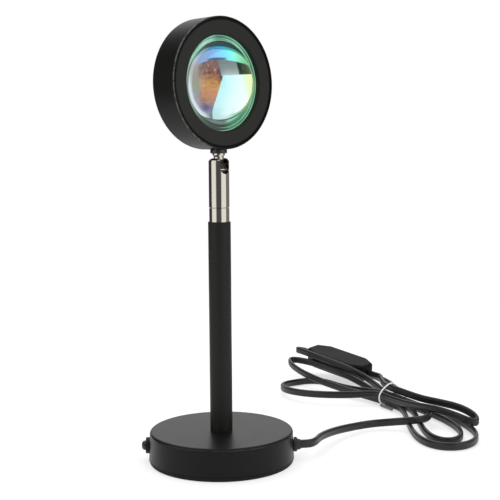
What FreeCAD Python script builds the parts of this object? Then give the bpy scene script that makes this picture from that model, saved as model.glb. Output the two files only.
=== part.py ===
import FreeCAD, Part
import math
import os

import Sketcher
from FreeCAD import Placement, Rotation, Vector

# A projection lamp: a drum-shaped head with a half-ball lens, carried on a slotted ball swivel,
# a round stem and a weighted round base, with a flat twin lead, an inline switch and a plug.
# The frame: origin at the base's centre on the table, Z up, X to the side where the lead leaves.

document = FreeCAD.newDocument("projection_lamp")
sheet = document.addObject("Spreadsheet::Sheet", "Sizes")


# ---------------------------------------------------------------- driving dimensions (mm, degrees)

DIMENSIONS = {
    # base
    "base_radius": 45.0,
    "base_taper": 0.7,
    "base_edge_round": 1.8,
    "shell_height": 17.6,
    "shell_wall": 1.2,
    "pad_thickness": 1.8,
    "pad_inset": 0.5,
    "plate_thickness": 1.5,
    "weight_margin": 11.0,
    "weight_bore": 11.0,
    "weight_thickness": 4.5,
    "plate_screw_margin": 12.0,
    "plate_screw_radius": 1.5,
    "plate_screw_length": 5.6,
    "plate_screw_head": 2.7,
    "side_height": 9.4,
    # side screw and its lug
    "screw_washer_radius": 5.0,
    "screw_washer_thickness": 1.9,
    "screw_head_radius": 2.9,
    "screw_head_height": 2.5,
    "screw_shank_radius": 2.0,
    "screw_length": 7.0,
    "lug_width": 10.0,
    "lug_thickness": 2.0,
    "lug_margin": 4.0,
    # lead bush in the wall
    "bush_flange_radius": 4.5,
    "bush_flange_thickness": 2.0,
    "bush_nose_radius": 3.5,
    "bush_nose_length": 2.2,
    "bush_neck_radius": 3.1,
    # stem
    "stem_radius": 6.9,
    "stem_wall": 1.2,
    "stem_length": 129.0,
    "nipple_radius": 4.0,
    "nipple_bore": 2.6,
    "nipple_top": 10.0,
    "insert_length": 12.0,
    "nut_flats": 13.0,
    "nut_thickness": 3.2,
    "washer_radius": 10.0,
    "washer_thickness": 1.0,
    # swivel
    "collar_radius": 6.1,
    "collar_height": 8.7,
    "spigot_radius": 4.3,
    "spigot_height": 7.9,
    "lead_bore": 2.75,
    "clip_height": 6.3,
    "clip_thickness": 0.7,
    "clip_depth": 0.5,
    "clip_radius": 4.85,
    "barrel_radius": 6.2,
    "barrel_length": 29.7,
    "barrel_round": 2.2,
    "ball_radius": 5.0,
    "ball_depth": 6.2,
    "neck_radius": 3.1,
    "neck_reach": 7.0,
    "stud_radius": 3.8,
    "stud_shoulder": 9.0,
    "stud_thread_radius": 3.0,
    "stud_bore": 1.5,
    "collar_nut_radius": 5.1,
    "collar_nut_height": 2.6,
    "inner_nut_flats": 9.0,
    "inner_nut_thickness": 2.4,
    "cup_height": 2.9,
    "spring_wire": 0.8,
    "spring_mean_radius": 4.2,
    "spring_turns": 5.5,
    "thrust_washer_thickness": 0.5,
    # head
    "head_radius": 39.45,
    "head_depth": 20.0,
    "face_offset": 6.3,
    "head_wall": 2.2,
    "head_back": 2.5,
    "head_back_round": 1.6,
    "head_lip_round": 0.5,
    "rebate_wall": 1.15,
    "bezel_recess": 0.4,
    "bezel_thickness": 1.2,
    "rim_width": 10.7,
    "aperture_chamfer": 0.6,
    "gasket_thickness": 1.8,
    "lens_step": 7.55,
    "lens_overlap": 1.85,
    "lens_flange_thickness": 2.4,
    "lens_ring_inset": 3.15,
    "lens_ring_width": 0.9,
    "lens_ring_height": 0.4,
    "filter_thickness": 1.1,
    "holder_wall": 1.5,
    "holder_ledge": 1.5,
    "holder_foot_margin": 1.0,
    "holder_screw_margin": 2.3,
    "holder_screw_radius": 1.25,
    "holder_screw_head": 2.1,
    "sink_clearance": 0.65,
    "sink_thickness": 2.5,
    "board_radius": 10.0,
    "board_thickness": 1.6,
    "board_screw_circle": 7.2,
    "board_screw_radius": 1.0,
    "board_screw_head": 1.7,
    "emitter_side": 7.0,
    "emitter_height": 0.8,
    "emitter_dome": 2.6,
    # lead, switch and plug
    "cord_radius": 2.0,
    "inner_lead_radius": 1.4,
    "switch_length": 60.6,
    "switch_width": 24.0,
    "switch_end_width": 12.0,
    "switch_taper": 11.0,
    "switch_thickness": 13.6,
    "switch_round": 2.6,
    "rocker_length": 13.2,
    "rocker_width": 9.0,
    "rocker_rise": 2.0,
    "rocker_pin_radius": 1.0,
    "switch_screw_radius": 1.2,
    "switch_screw_spread": 18.0,
    "plug_length": 27.0,
    "plug_width": 16.0,
    "plug_thickness": 8.4,
    "plug_round": 1.6,
    "plug_shell_length": 18.8,
    "plug_shell_width": 12.0,
    "plug_shell_height": 4.5,
    "plug_shell_wall": 0.35,
    "tie_wire_radius": 0.55,
    "tie_tail_length": 9.0,
    # clearances
    "running_clearance": 0.05,
    "thread_clearance": 0.05,
    "seat_clearance": 0.15,
    "face_gap": 0.1,
    "slot_clearance": 0.25,
    # attitude
    "head_azimuth": 43.0,
}

for row, (alias, value) in enumerate(DIMENSIONS.items(), start=1):
    sheet.set(f"A{row}", alias)
    sheet.set(f"B{row}", str(value))
    sheet.setAlias(f"B{row}", alias)
document.recompute()


class Size:
    """A length that knows both its number and the sheet expression that it comes from."""

    def __init__(self, value, text):
        self.value = float(value)
        self.text = text

    @staticmethod
    def of(other):
        return other if isinstance(other, Size) else Size(other, repr(float(other)))

    def join(self, other, sign, value):
        return Size(value, f"({self.text} {sign} {Size.of(other).text})")

    def __add__(self, other):
        return self.join(other, "+", self.value + Size.of(other).value)

    def __radd__(self, other):
        return Size.of(other) + self

    def __sub__(self, other):
        return self.join(other, "-", self.value - Size.of(other).value)

    def __rsub__(self, other):
        return Size.of(other) - self

    def __mul__(self, other):
        return self.join(other, "*", self.value * Size.of(other).value)

    def __rmul__(self, other):
        return Size.of(other) * self

    def __truediv__(self, other):
        return self.join(other, "/", self.value / Size.of(other).value)

    def __neg__(self):
        return Size(-self.value, f"(-1 * {self.text})")

    def root(self):
        return Size(math.sqrt(self.value), f"sqrt({self.text})")


class Book:
    """The sheet's cells, each read as a Size by its alias."""

    def __getattr__(self, alias):
        return Size(getattr(sheet, alias), f"Sizes.{alias}")


s = Book()


# ---------------------------------------------------------------- building blocks

parts = {}


def bind(thing, **sizes):
    """Ties properties of an object to the sheet; a double underscore stands for a dot."""
    for key, size in sizes.items():
        thing.setExpression(key.replace("__", "."), Size.of(size).text)
    return thing


def stand(thing, x=0.0, y=0.0, z=0.0, turn=None):
    """Turns an object, then ties its place to the sheet."""
    thing.Placement = Placement(Vector(), turn or Rotation())
    return bind(thing, Placement__Base__x=x, Placement__Base__y=y, Placement__Base__z=z)


def rod(name, radius, length, x=0.0, y=0.0, z=0.0, turn=None):
    cylinder = document.addObject("Part::Cylinder", name)
    bind(cylinder, Radius=radius, Height=length)
    return stand(cylinder, x, y, z, turn)


def cone(name, radius, end_radius, length, x=0.0, y=0.0, z=0.0, turn=None):
    shape = document.addObject("Part::Cone", name)
    bind(shape, Radius1=radius, Radius2=end_radius, Height=length)
    return stand(shape, x, y, z, turn)


def ball(name, radius, z=0.0):
    sphere = document.addObject("Part::Sphere", name)
    bind(sphere, Radius=radius)
    return stand(sphere, z=z)


def block(name, length, width, height, x=0.0, y=0.0, z=0.0):
    """A box centred on x and y, standing on z."""
    box = document.addObject("Part::Box", name)
    bind(box, Length=length, Width=width, Height=height)
    return stand(box, Size.of(x) - Size.of(length) / 2, Size.of(y) - Size.of(width) / 2, z)


def nut_blank(name, flats, height, z=0.0):
    prism = document.addObject("Part::Prism", name)
    prism.Polygon = 6
    bind(prism, Circumradius=Size.of(flats) / math.sqrt(3.0), Height=height)
    return stand(prism, z=z)


def join(name, *solids):
    fusion = document.addObject("Part::MultiFuse", name)
    fusion.Shapes = list(solids)
    fusion.Refine = True
    return fusion


def cut(name, base, *tools):
    tool = tools[0] if len(tools) == 1 else join(f"{name}_tools", *tools)
    result = document.addObject("Part::Cut", name)
    result.Base = base
    result.Tool = tool
    result.Refine = True
    return result


def keep(node, thing, placement=None):
    """Registers a finished sub-part under its node name."""
    thing.Label = node
    if placement is not None:
        thing.Placement = placement
    parts[node] = thing
    return thing


def plane(body, role):
    return next(item for item in body.Origin.OriginFeatures if item.Role == role)


def outline(body, name, role, corners):
    """A closed sketch whose corners are tied to the sheet."""
    sketch = body.newObject("Sketcher::SketchObject", name)
    sketch.AttachmentSupport = [(plane(body, role), "")]
    sketch.MapMode = "FlatFace"
    pairs = [(Size.of(x), Size.of(y)) for x, y in corners]
    spots = [Vector(x.value, y.value, 0) for x, y in pairs]
    count = len(spots)
    for i in range(count):
        sketch.addGeometry(Part.LineSegment(spots[i], spots[(i + 1) % count]), False)
    for i in range(count):
        sketch.addConstraint(Sketcher.Constraint("Coincident", i, 2, (i + 1) % count, 1))
    for i, (x, y) in enumerate(pairs):
        for letter, size in (("X", x), ("Y", y)):
            kind = f"Distance{letter}"
            index = sketch.addConstraint(Sketcher.Constraint(kind, -1, 1, i, 1, size.value))
            sketch.renameConstraint(index, f"{letter.lower()}{i}")
            if "Sizes." in size.text:
                sketch.setExpression(f"Constraints.{letter.lower()}{i}", size.text)
    return sketch


def turned(name, corners):
    """A body turned about Z from an outline of (radius, height) corners."""
    body = document.addObject("PartDesign::Body", name)
    sketch = outline(body, f"{name}_profile", "XZ_Plane", corners)
    revolution = body.newObject("PartDesign::Revolution", f"{name}_turn")
    revolution.Profile = sketch
    revolution.ReferenceAxis = (sketch, ["V_Axis"])
    revolution.Angle = 360
    document.recompute()
    return body


def padded(name, corners, height, role="XY_Plane"):
    """A body raised from an outline."""
    body = document.addObject("PartDesign::Body", name)
    sketch = outline(body, f"{name}_plan", role, corners)
    pad = body.newObject("PartDesign::Pad", f"{name}_pad")
    pad.Profile = sketch
    bind(pad, Length=height)
    document.recompute()
    return body


def rings(body, radius, z):
    """The circular edges of a body at one radius and height."""
    found = []
    for index, edge in enumerate(body.Tip.Shape.Edges, start=1):
        curve = edge.Curve
        if isinstance(curve, Part.Circle):
            right_size = abs(curve.Radius - Size.of(radius).value) < 1e-3
            if right_size and abs(curve.Center.z - Size.of(z).value) < 1e-3:
                found.append(f"Edge{index}")
    return found


def rounded(body, radius, *edges_at):
    """Rounds the rings given as (radius, height) pairs."""
    names = [name for r, z in edges_at for name in rings(body, r, z)]
    return dressed(body, "Fillet", radius, names)


def dressed(body, kind, size, names):
    tip = body.Tip
    feature = body.newObject(f"PartDesign::{kind}", f"{tip.Name}_{kind.lower()}")
    feature.Base = (tip, names)
    bind(feature, **{"Radius" if kind == "Fillet" else "Size": size})
    document.recompute()
    return body


def edges_along(body, axis, test=None):
    """The straight edges of a body along one axis, picked by a test of their middle."""
    found = []
    for index, edge in enumerate(body.Tip.Shape.Edges, start=1):
        if not isinstance(edge.Curve, Part.Line):
            continue
        middle = edge.valueAt((edge.FirstParameter + edge.LastParameter) / 2)
        if abs(abs(edge.Curve.Direction.dot(axis)) - 1) < 1e-6 and (test is None or test(middle)):
            found.append(f"Edge{index}")
    return found


SIDEWAYS = Rotation(Vector(0, 1, 0), 90)
BACKWARD_X = Rotation(Vector(0, 1, 0), -90)
TO_FRONT = Rotation(Vector(1, 0, 0), 90)


# ---------------------------------------------------------------- routes and tubes

def unit(vector):
    return vector / vector.Length


def arc_between(start, end, direction):
    """An arc that leaves its start in a direction, or a straight where it hardly bends."""
    chord = end - start
    forward = chord.dot(direction)
    sideways = chord - direction * forward
    if sideways.Length < 1e-4 * chord.Length:
        return Part.LineSegment(start, end), math.inf
    radius = chord.Length**2 / (2 * sideways.Length)
    half_angle = math.atan2(sideways.Length, forward)
    middle = start + direction * (radius * math.sin(half_angle))
    middle += unit(sideways) * (radius * (1 - math.cos(half_angle)))
    return Part.Arc(start, middle, end), radius


def smooth_route(points):
    """Pairs of arcs that pass smoothly through the points, straight at both ends."""
    chords = [b - a for a, b in zip(points, points[1:])]
    tangents = [unit(chords[0]), unit(chords[0])]
    for before, after in zip(chords[1:-1], chords[2:]):
        blend = unit(before) * after.Length + unit(after) * before.Length
        tangents.append(unit(blend))
    tangents = tangents[:-1] + [unit(chords[-1]), unit(chords[-1])]
    curves = []
    for start, end, leaving, arriving in zip(points, points[1:], tangents, tangents[1:]):
        chord = end - start
        along = chord.dot(leaving + arriving)
        spread = 2 * (1 - leaving.dot(arriving))
        reach = chord.Length**2 / (math.sqrt(along**2 + spread * chord.Length**2) + along)
        joint = (start + end + (leaving - arriving) * reach) / 2
        curves.append(arc_between(start, joint, leaving))
        mirrored, radius = arc_between(end, joint, arriving * -1)
        curves.append((reversed_curve(mirrored, joint, end), radius))
    return curves


def reversed_curve(curve, start, end):
    """The same arc or straight, drawn from start to end."""
    if isinstance(curve, Part.LineSegment):
        return Part.LineSegment(start, end)
    middle = curve.value((curve.FirstParameter + curve.LastParameter) / 2)
    return Part.Arc(start, middle, end)


def run_route(points, closed=False):
    """Straight runs joined by tangent arcs, each as large as its two runs allow."""
    count = len(points)
    curves = []
    corners = range(count) if closed else range(1, count - 1)
    here = points[0]
    first = None
    for i in corners:
        before = points[i] - points[i - 1]
        after = points[(i + 1) % count] - points[i]
        half_turn = before.getAngle(after) / 2
        shorter = min(before.Length, after.Length)
        setback = 0.45 * shorter
        start = points[i] - unit(before) * setback
        end = points[i] + unit(after) * setback
        radius = setback / math.tan(half_turn)
        bisector = unit(unit(after) - unit(before))
        centre = points[i] + bisector * (radius / math.cos(half_turn))
        if first is None and closed:
            first = start
        else:
            curves.append((Part.LineSegment(here, start), math.inf))
        curves.append((Part.Arc(start, centre - bisector * radius, end), radius))
        here = end
    curves.append((Part.LineSegment(here, first if closed else points[-1]), math.inf))
    return curves


def tube(name, curves, radius):
    """A round tube along a route, whose volume is compared with its section times its length."""
    wire = Part.Wire([curve.toShape() for curve, _ in curves])
    first = curves[0][0]
    start = first.value(first.FirstParameter)
    ring = Part.Circle(start, first.tangent(first.FirstParameter)[0], radius)
    solid = wire.makePipeShell([Part.Wire(ring.toShape())], True, False)
    expected = math.pi * radius**2 * wire.Length
    radii = sorted(r for _, r in curves if r < 200)
    tight = ", ".join(f"{r:.1f}" for r in radii[:8])
    print(f"{name}: length {wire.Length:.1f}, volume ratio {solid.Volume / expected:.4f}, radii from {tight}")
    thing = document.addObject("Part::Feature", name)
    thing.Shape = solid
    return thing, wire


def sample(wire, step):
    """Points along a wire, each with its distance from the start."""
    points = []
    travelled = 0.0
    for edge in wire.OrderedEdges:
        count = max(2, int(edge.Length / step))
        for point in edge.discretize(count + 1)[:-1]:
            points.append((travelled, point))
            travelled += edge.Length / count
    return points


def least_gap(first, second, diameter, apart):
    """The least gap between two tubes, or within one where the samples lie apart along it."""
    least = math.inf
    for along, a in first:
        for other, b in second:
            if first is not second or other - along > apart:
                least = min(least, a.distanceToPoint(b))
    return least - diameter


# ---------------------------------------------------------------- levels that pieces share

plate_foot = s.pad_thickness
plate_top = plate_foot + s.plate_thickness
weight_top = plate_top + s.weight_thickness
base_top = s.pad_thickness + s.shell_height
shell_ceiling = base_top - s.shell_wall
base_top_radius = s.base_radius - s.base_taper
shell_inner = base_top_radius - s.shell_wall
weight_radius = s.base_radius - s.weight_margin
plate_screw_circle = weight_radius - s.plate_screw_margin
clamp_middle = weight_radius - 7.0
clamp_screw_reach = 5.2
clamp_screw_radius = 1.25
clamp_screw_depth = 3.0
stem_top = base_top + s.stem_length
collar_top = stem_top + s.collar_height
barrel_foot = collar_top + s.face_gap
barrel_top = barrel_foot + s.barrel_length
ball_height = barrel_top - s.ball_depth
nut_seat = ball_height + s.stud_shoulder
collar_nut_top = nut_seat + s.collar_nut_height
spot_face = collar_nut_top + s.face_gap
spot_depth = 0.3
head_height = spot_face + s.head_radius - spot_depth
spigot_top = collar_top + s.spigot_height


# ---------------------------------------------------------------- base

def shell_radius_at(z):
    """The outer radius of the tapered shell at a height."""
    drop = s.base_taper / s.shell_height
    return s.base_radius - drop * (z - s.pad_thickness)


def foot_pad():
    edge = 0.4
    radius = s.base_radius - s.pad_inset
    corners = [(0, 0), (radius - edge, 0), (radius, edge), (radius, s.pad_thickness), (0, s.pad_thickness)]
    return keep("foot_pad", turned("FootPad", corners))


def base_shell():
    """A spun cup, open below, with a hole for the stem and one in each side wall."""
    corners = [
        (s.base_radius, s.pad_thickness),
        (base_top_radius, base_top),
        (s.nipple_radius + s.seat_clearance, base_top),
        (s.nipple_radius + s.seat_clearance, shell_ceiling),
        (shell_inner, shell_ceiling),
        (s.base_radius - s.shell_wall, s.pad_thickness),
    ]
    body = turned("BaseShell", corners)
    rounded(body, s.base_edge_round, (base_top_radius, base_top))
    holes = (("bush", s.bush_neck_radius, True), ("screw", s.screw_shank_radius, False))
    for label, radius, forward in holes:
        side_hole(body, label, radius + s.seat_clearance, forward)
    return keep("base_shell", body)


def side_hole(body, label, radius, forward):
    """A round hole through the side wall, towards +X or -X, at the height of the side fittings."""
    sketch = body.newObject("Sketcher::SketchObject", f"shell_{label}_hole")
    sketch.AttachmentSupport = [(plane(body, "YZ_Plane"), "")]
    sketch.MapMode = "FlatFace"
    sketch.addGeometry(Part.Circle(Vector(0, s.side_height.value, 0), Vector(0, 0, 1), radius.value), False)
    sketch.addConstraint(Sketcher.Constraint("PointOnObject", 0, 3, -2))
    height = sketch.addConstraint(Sketcher.Constraint("DistanceY", -1, 1, 0, 3, s.side_height.value))
    sketch.renameConstraint(height, "height")
    width = sketch.addConstraint(Sketcher.Constraint("Radius", 0, radius.value))
    sketch.renameConstraint(width, "radius")
    sketch.setExpression("Constraints.height", s.side_height.text)
    sketch.setExpression("Constraints.radius", radius.text)
    before = body.Tip.Shape.Volume
    pocket = body.newObject("PartDesign::Pocket", f"shell_{label}_cut")
    pocket.Profile = sketch
    pocket.Type = 1
    pocket.Reversed = forward
    document.recompute()
    if body.Tip.Shape.Volume > before - 1.0:
        raise RuntimeError(f"the {label} hole cut nothing")


def bottom_plate():
    """A disc with a lug turned up for the side screw, and three countersunk screw holes."""
    radius = s.base_radius - s.shell_wall - s.seat_clearance
    disc = rod("plate_disc", radius, s.plate_thickness, z=plate_foot)
    lug_x = -(shell_inner - 0.5 - s.lug_thickness / 2)
    lug_height = s.side_height + s.lug_margin - plate_foot
    lug = block("plate_lug", s.lug_thickness, s.lug_width, lug_height, x=lug_x, z=plate_foot)
    tap = rod(
        "lug_thread", s.screw_shank_radius + s.thread_clearance, 12,
        x=lug_x - 6, z=s.side_height, turn=SIDEWAYS,
    )
    holes = [tap]
    for i, (x, y) in enumerate(circle_spots(plate_screw_circle, 3, 90)):
        reach = s.plate_screw_radius + s.thread_clearance
        head = s.plate_screw_head + s.thread_clearance
        holes.append(rod(f"plate_hole_{i}", reach, 10, x=x, y=y, z=plate_foot - 4))
        holes.append(cone(f"plate_sink_{i}", head, reach, head - reach, x=x, y=y, z=plate_foot))
    return keep("bottom_plate", cut("BottomPlate", join("plate_blank", disc, lug), *holes))


def circle_spots(radius, count, first_angle):
    """Evenly spaced places round Z."""
    angles = [math.radians(first_angle + 360.0 * i / count) for i in range(count)]
    return [(radius * math.cos(a), radius * math.sin(a)) for a in angles]


def base_weight():
    ring = rod("weight_disc", weight_radius, s.weight_thickness, z=plate_top)
    bore = rod("weight_bore_cut", s.weight_bore, s.weight_thickness + 2, z=plate_top - 1)
    holes = [
        rod(f"weight_tap_{i}", s.plate_screw_radius + s.thread_clearance, 20, x=x, y=y, z=plate_top - 5)
        for i, (x, y) in enumerate(circle_spots(plate_screw_circle, 3, 90))
    ]
    for i, y in enumerate((-clamp_screw_reach, clamp_screw_reach)):
        holes.append(rod(f"clamp_tap_{i}", clamp_screw_radius + s.thread_clearance, 8,
                         x=clamp_middle, y=y, z=weight_top - clamp_screw_depth - 0.1))
    return keep("base_weight", cut("BaseWeight", ring, bore, *holes))


def plate_screws():
    """Three countersunk screws, their heads flush under the plate."""
    screws = []
    for i, (x, y) in enumerate(circle_spots(plate_screw_circle, 3, 90)):
        shank = rod(f"plate_shank_{i}", s.plate_screw_radius, s.plate_screw_length, x=x, y=y, z=plate_foot)
        depth = s.plate_screw_head - s.plate_screw_radius
        head = cone(f"plate_head_{i}", s.plate_screw_head, s.plate_screw_radius, depth, x=x, y=y, z=plate_foot)
        screws += [shank, head]
    return keep("plate_screws", join("PlateScrews", *screws))


def side_screw_set():
    """A cup washer and a domed screw that holds the shell to the plate's lug."""
    seat = shell_radius_at(s.side_height - s.screw_washer_radius) + s.face_gap / 2
    washer_blank = rod(
        "side_washer_disc", s.screw_washer_radius, s.screw_washer_thickness,
        x=-seat, z=s.side_height, turn=BACKWARD_X,
    )
    washer_hole = rod(
        "side_washer_hole", s.screw_shank_radius + s.seat_clearance, 9,
        x=-seat + 3, z=s.side_height, turn=BACKWARD_X,
    )
    washer = cut("SideWasher", washer_blank, washer_hole)
    keep("side_washer", washer)
    head_seat = seat + s.screw_washer_thickness
    edge = 1.0
    corners = [
        (0, 0 - s.screw_length),
        (s.screw_shank_radius, 0 - s.screw_length),
        (s.screw_shank_radius, 0),
        (s.screw_head_radius, 0),
        (s.screw_head_radius, s.screw_head_height - edge),
        (s.screw_head_radius - edge, s.screw_head_height),
        (0, s.screw_head_height),
    ]
    screw = turned("SideScrew", corners)
    place = Placement(Vector(-head_seat.value, 0, s.side_height.value), BACKWARD_X)
    keep("side_screw", screw, place)


bush_seat = shell_radius_at(s.side_height - s.bush_flange_radius) + s.face_gap / 2
bush_inner_face = shell_inner - 0.5
bush_nose_end = bush_seat + s.bush_flange_thickness + s.bush_nose_length
bush_tail = bush_inner_face - 1.6


def lead_bush():
    """A flanged rubber bush, snapped into the wall, that the lead leaves through."""
    bore = s.cord_radius + s.running_clearance
    flange_end = bush_seat + s.bush_flange_thickness
    edge = 0.5
    corners = [
        (bore, bush_tail),
        (s.bush_flange_radius - 0.4, bush_tail),
        (s.bush_flange_radius - 0.4, bush_inner_face),
        (s.bush_neck_radius, bush_inner_face),
        (s.bush_neck_radius, bush_seat),
        (s.bush_flange_radius, bush_seat),
        (s.bush_flange_radius, flange_end - edge),
        (s.bush_flange_radius - edge, flange_end),
        (s.bush_nose_radius, flange_end),
        (s.bush_nose_radius - edge, bush_nose_end),
        (bore, bush_nose_end),
    ]
    body = turned("LeadBush", corners)
    keep("lead_bush", body, Placement(Vector(0, 0, s.side_height.value), SIDEWAYS))


def base_parts():
    foot_pad()
    base_shell()
    bottom_plate()
    base_weight()
    plate_screws()
    side_screw_set()
    lead_bush()


# ---------------------------------------------------------------- stem

def threaded_insert(node, name, z):
    """A bush pressed into an end of the stem, threaded inside."""
    outer = rod(f"{name}_body", s.stem_radius - s.stem_wall - s.thread_clearance, s.insert_length, z=z)
    bore = rod(f"{name}_bore", s.nipple_radius + s.thread_clearance, s.insert_length + 2, z=z - 1)
    return keep(node, cut(name, outer, bore))


def stem_parts():
    tube = rod("stem_outside", s.stem_radius, s.stem_length, z=base_top)
    bore = rod("stem_inside", s.stem_radius - s.stem_wall, s.stem_length + 2, z=base_top - 1)
    keep("stem_tube", cut("StemTube", tube, bore))
    threaded_insert("lower_insert", "LowerInsert", base_top)
    threaded_insert("upper_insert", "UpperInsert", stem_top - s.insert_length)
    washer_foot = shell_ceiling - s.washer_thickness
    nut_foot = washer_foot - s.nut_thickness
    nipple_foot = nut_foot - 1.0
    nipple_end = base_top + s.nipple_top
    nipple = rod("nipple_outside", s.nipple_radius, nipple_end - nipple_foot, z=nipple_foot)
    nipple_hole = rod("nipple_inside", s.nipple_bore, nipple_end - nipple_foot + 2, z=nipple_foot - 1)
    keep("threaded_nipple", cut("ThreadedNipple", nipple, nipple_hole))
    washer = rod("washer_outside", s.washer_radius, s.washer_thickness, z=washer_foot)
    washer_hole = rod("washer_hole", s.nipple_radius + s.seat_clearance, 8, z=washer_foot - 3)
    keep("stem_washer", cut("StemWasher", washer, washer_hole))
    nut = nut_blank("stem_nut_blank", s.nut_flats, s.nut_thickness, z=nut_foot)
    nut_hole = rod("stem_nut_hole", s.nipple_radius + s.thread_clearance, 12, z=nut_foot - 3)
    keep("stem_nut", cut("StemNut", nut, nut_hole))


# ---------------------------------------------------------------- slotted ball swivel

TURNED_TO_FRONT = Placement(Vector(), Rotation(Vector(0, 0, 1), s.head_azimuth.value))


def swivel_collar():
    """The fixed lower ring, with a threaded tail in the stem and a spigot that the barrel turns on."""
    edge = 0.35
    groove_foot = collar_top + s.clip_height
    groove_top = groove_foot + s.clip_thickness + s.face_gap
    groove_radius = s.spigot_radius - s.clip_depth
    tail = stem_top - s.nipple_top
    corners = [
        (s.lead_bore, tail),
        (s.nipple_radius, tail),
        (s.nipple_radius, stem_top),
        (s.collar_radius, stem_top),
        (s.collar_radius, collar_top - edge),
        (s.collar_radius - edge, collar_top),
        (s.spigot_radius, collar_top),
        (s.spigot_radius, groove_foot),
        (groove_radius, groove_foot),
        (groove_radius, groove_top),
        (s.spigot_radius, groove_top),
        (s.spigot_radius, spigot_top),
        (s.lead_bore, spigot_top),
    ]
    return keep("swivel_collar", turned("SwivelCollar", corners))


def retaining_clip():
    """An open spring ring in the spigot's groove, which stops the barrel from lifting off."""
    foot = collar_top + s.clip_height + s.face_gap / 2
    ring = rod("clip_disc", s.clip_radius, s.clip_thickness, z=foot)
    hole = rod("clip_hole", s.spigot_radius - s.clip_depth + s.thread_clearance, 4, z=foot - 1)
    mouth = block("clip_mouth", 4, 12, 4, y=6, z=foot - 1)
    return keep("retaining_clip", cut("RetainingClip", ring, hole, mouth))


barrel_shoulder = collar_top + s.clip_height - s.seat_clearance
ball_bore = s.ball_radius + s.running_clearance
mouth_radius = s.neck_radius + s.slot_clearance


def swivel_barrel():
    """The turning sleeve: a spigot bore, a ball bore under a rounded seat, and a slot down its
    front that lets the stud fold flat."""
    foot_bore = s.spigot_radius + s.running_clearance
    corners = [
        (foot_bore, barrel_foot),
        (s.barrel_radius, barrel_foot),
        (s.barrel_radius, barrel_top),
        (mouth_radius, barrel_top),
        (mouth_radius, ball_height),
        (ball_bore, ball_height),
        (ball_bore, barrel_shoulder),
        (foot_bore, barrel_shoulder),
    ]
    body = turned("BarrelSleeve", corners)
    rounded(body, s.barrel_round, (s.barrel_radius, barrel_top))
    seat = ball("ball_seat", ball_bore, z=ball_height)
    slot_end = rod("slot_end", mouth_radius, s.barrel_radius + 2, z=ball_height, turn=TO_FRONT)
    slot_way = block("slot_way", mouth_radius * 2, s.barrel_radius + 2, s.ball_depth + 2, z=ball_height)
    bind(slot_way, Placement__Base__y=-(s.barrel_radius + 2))
    barrel = cut("SwivelBarrel", body, seat, slot_end, slot_way)
    return keep("swivel_barrel", barrel, TURNED_TO_FRONT)


def ball_stud():
    """A bored ball on a neck that fits the slot, with a shoulder and a thread for the head."""
    neck_end = ball_height + s.neck_reach
    flare = 1.0
    thread_end = head_height - s.head_radius + 6.2
    blank = join(
        "stud_blank",
        ball("stud_ball", s.ball_radius, z=ball_height),
        rod("stud_neck", s.neck_radius, s.neck_reach, z=ball_height),
        cone("stud_flare", s.neck_radius, s.stud_radius, flare, z=neck_end),
        rod("stud_body", s.stud_radius, s.stud_shoulder - s.neck_reach - flare, z=neck_end + flare),
        rod("stud_thread", s.stud_thread_radius, thread_end - nut_seat, z=nut_seat),
    )
    bore = rod("stud_bore_cut", s.stud_bore, 60, z=ball_height - 10)
    return keep("ball_stud", cut("BallStud", blank, bore))


def swivel_inner_parts():
    """The friction cup under the ball, the spring that presses it up and the washer below."""
    washer_foot = spigot_top + s.face_gap
    outer = ball_bore - s.seat_clearance
    washer = rod("thrust_disc", outer, s.thrust_washer_thickness, z=washer_foot)
    washer_hole = rod("thrust_hole", s.lead_bore + 0.4, 4, z=washer_foot - 1)
    keep("thrust_washer", cut("ThrustWasher", washer, washer_hole))
    cup_rim = ball_height - mouth_radius - 0.1
    cup_foot = cup_rim - s.cup_height
    cup = rod("cup_body", outer, s.cup_height, z=cup_foot)
    cup_hole = rod("cup_hole", s.stud_bore + 0.5, 9, z=cup_foot - 2)
    cup_seat = ball("cup_seat", s.ball_radius + s.running_clearance, z=ball_height)
    keep("friction_cup", cut("FrictionCup", cup, cup_hole, cup_seat))
    spring_foot = (washer_foot + s.thrust_washer_thickness + s.spring_wire / 2).value
    spring_head = (cup_foot - s.spring_wire / 2).value
    keep("swivel_spring", compression_spring(spring_foot, spring_head))


def compression_spring(foot, head):
    """An open coil of round wire between two heights, in arcs of a quarter turn."""
    radius = s.spring_mean_radius.value
    quarters = round(s.spring_turns.value * 4)
    lead_in = 0.15
    steps = [-lead_in] + list(range(quarters + 1)) + [quarters + lead_in]
    points = []
    for i in steps:
        angle = i * math.pi / 2
        height = foot + (head - foot) * (i + lead_in) / (quarters + 2 * lead_in)
        points.append(Vector(radius * math.cos(angle), radius * math.sin(angle), height))
    spring, _ = tube("SwivelSpring", smooth_route(points), s.spring_wire.value / 2)
    return spring


def swivel_parts():
    swivel_collar()
    retaining_clip()
    swivel_barrel()
    swivel_inner_parts()
    ball_stud()


# ---------------------------------------------------------------- head, drawn with its face towards +Z

HEAD_TURN = Rotation(Vector(0, 0, 1), s.head_azimuth.value).multiply(TO_FRONT)
HEAD_PLACE = Placement(Vector(0, 0, head_height.value), HEAD_TURN)

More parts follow.
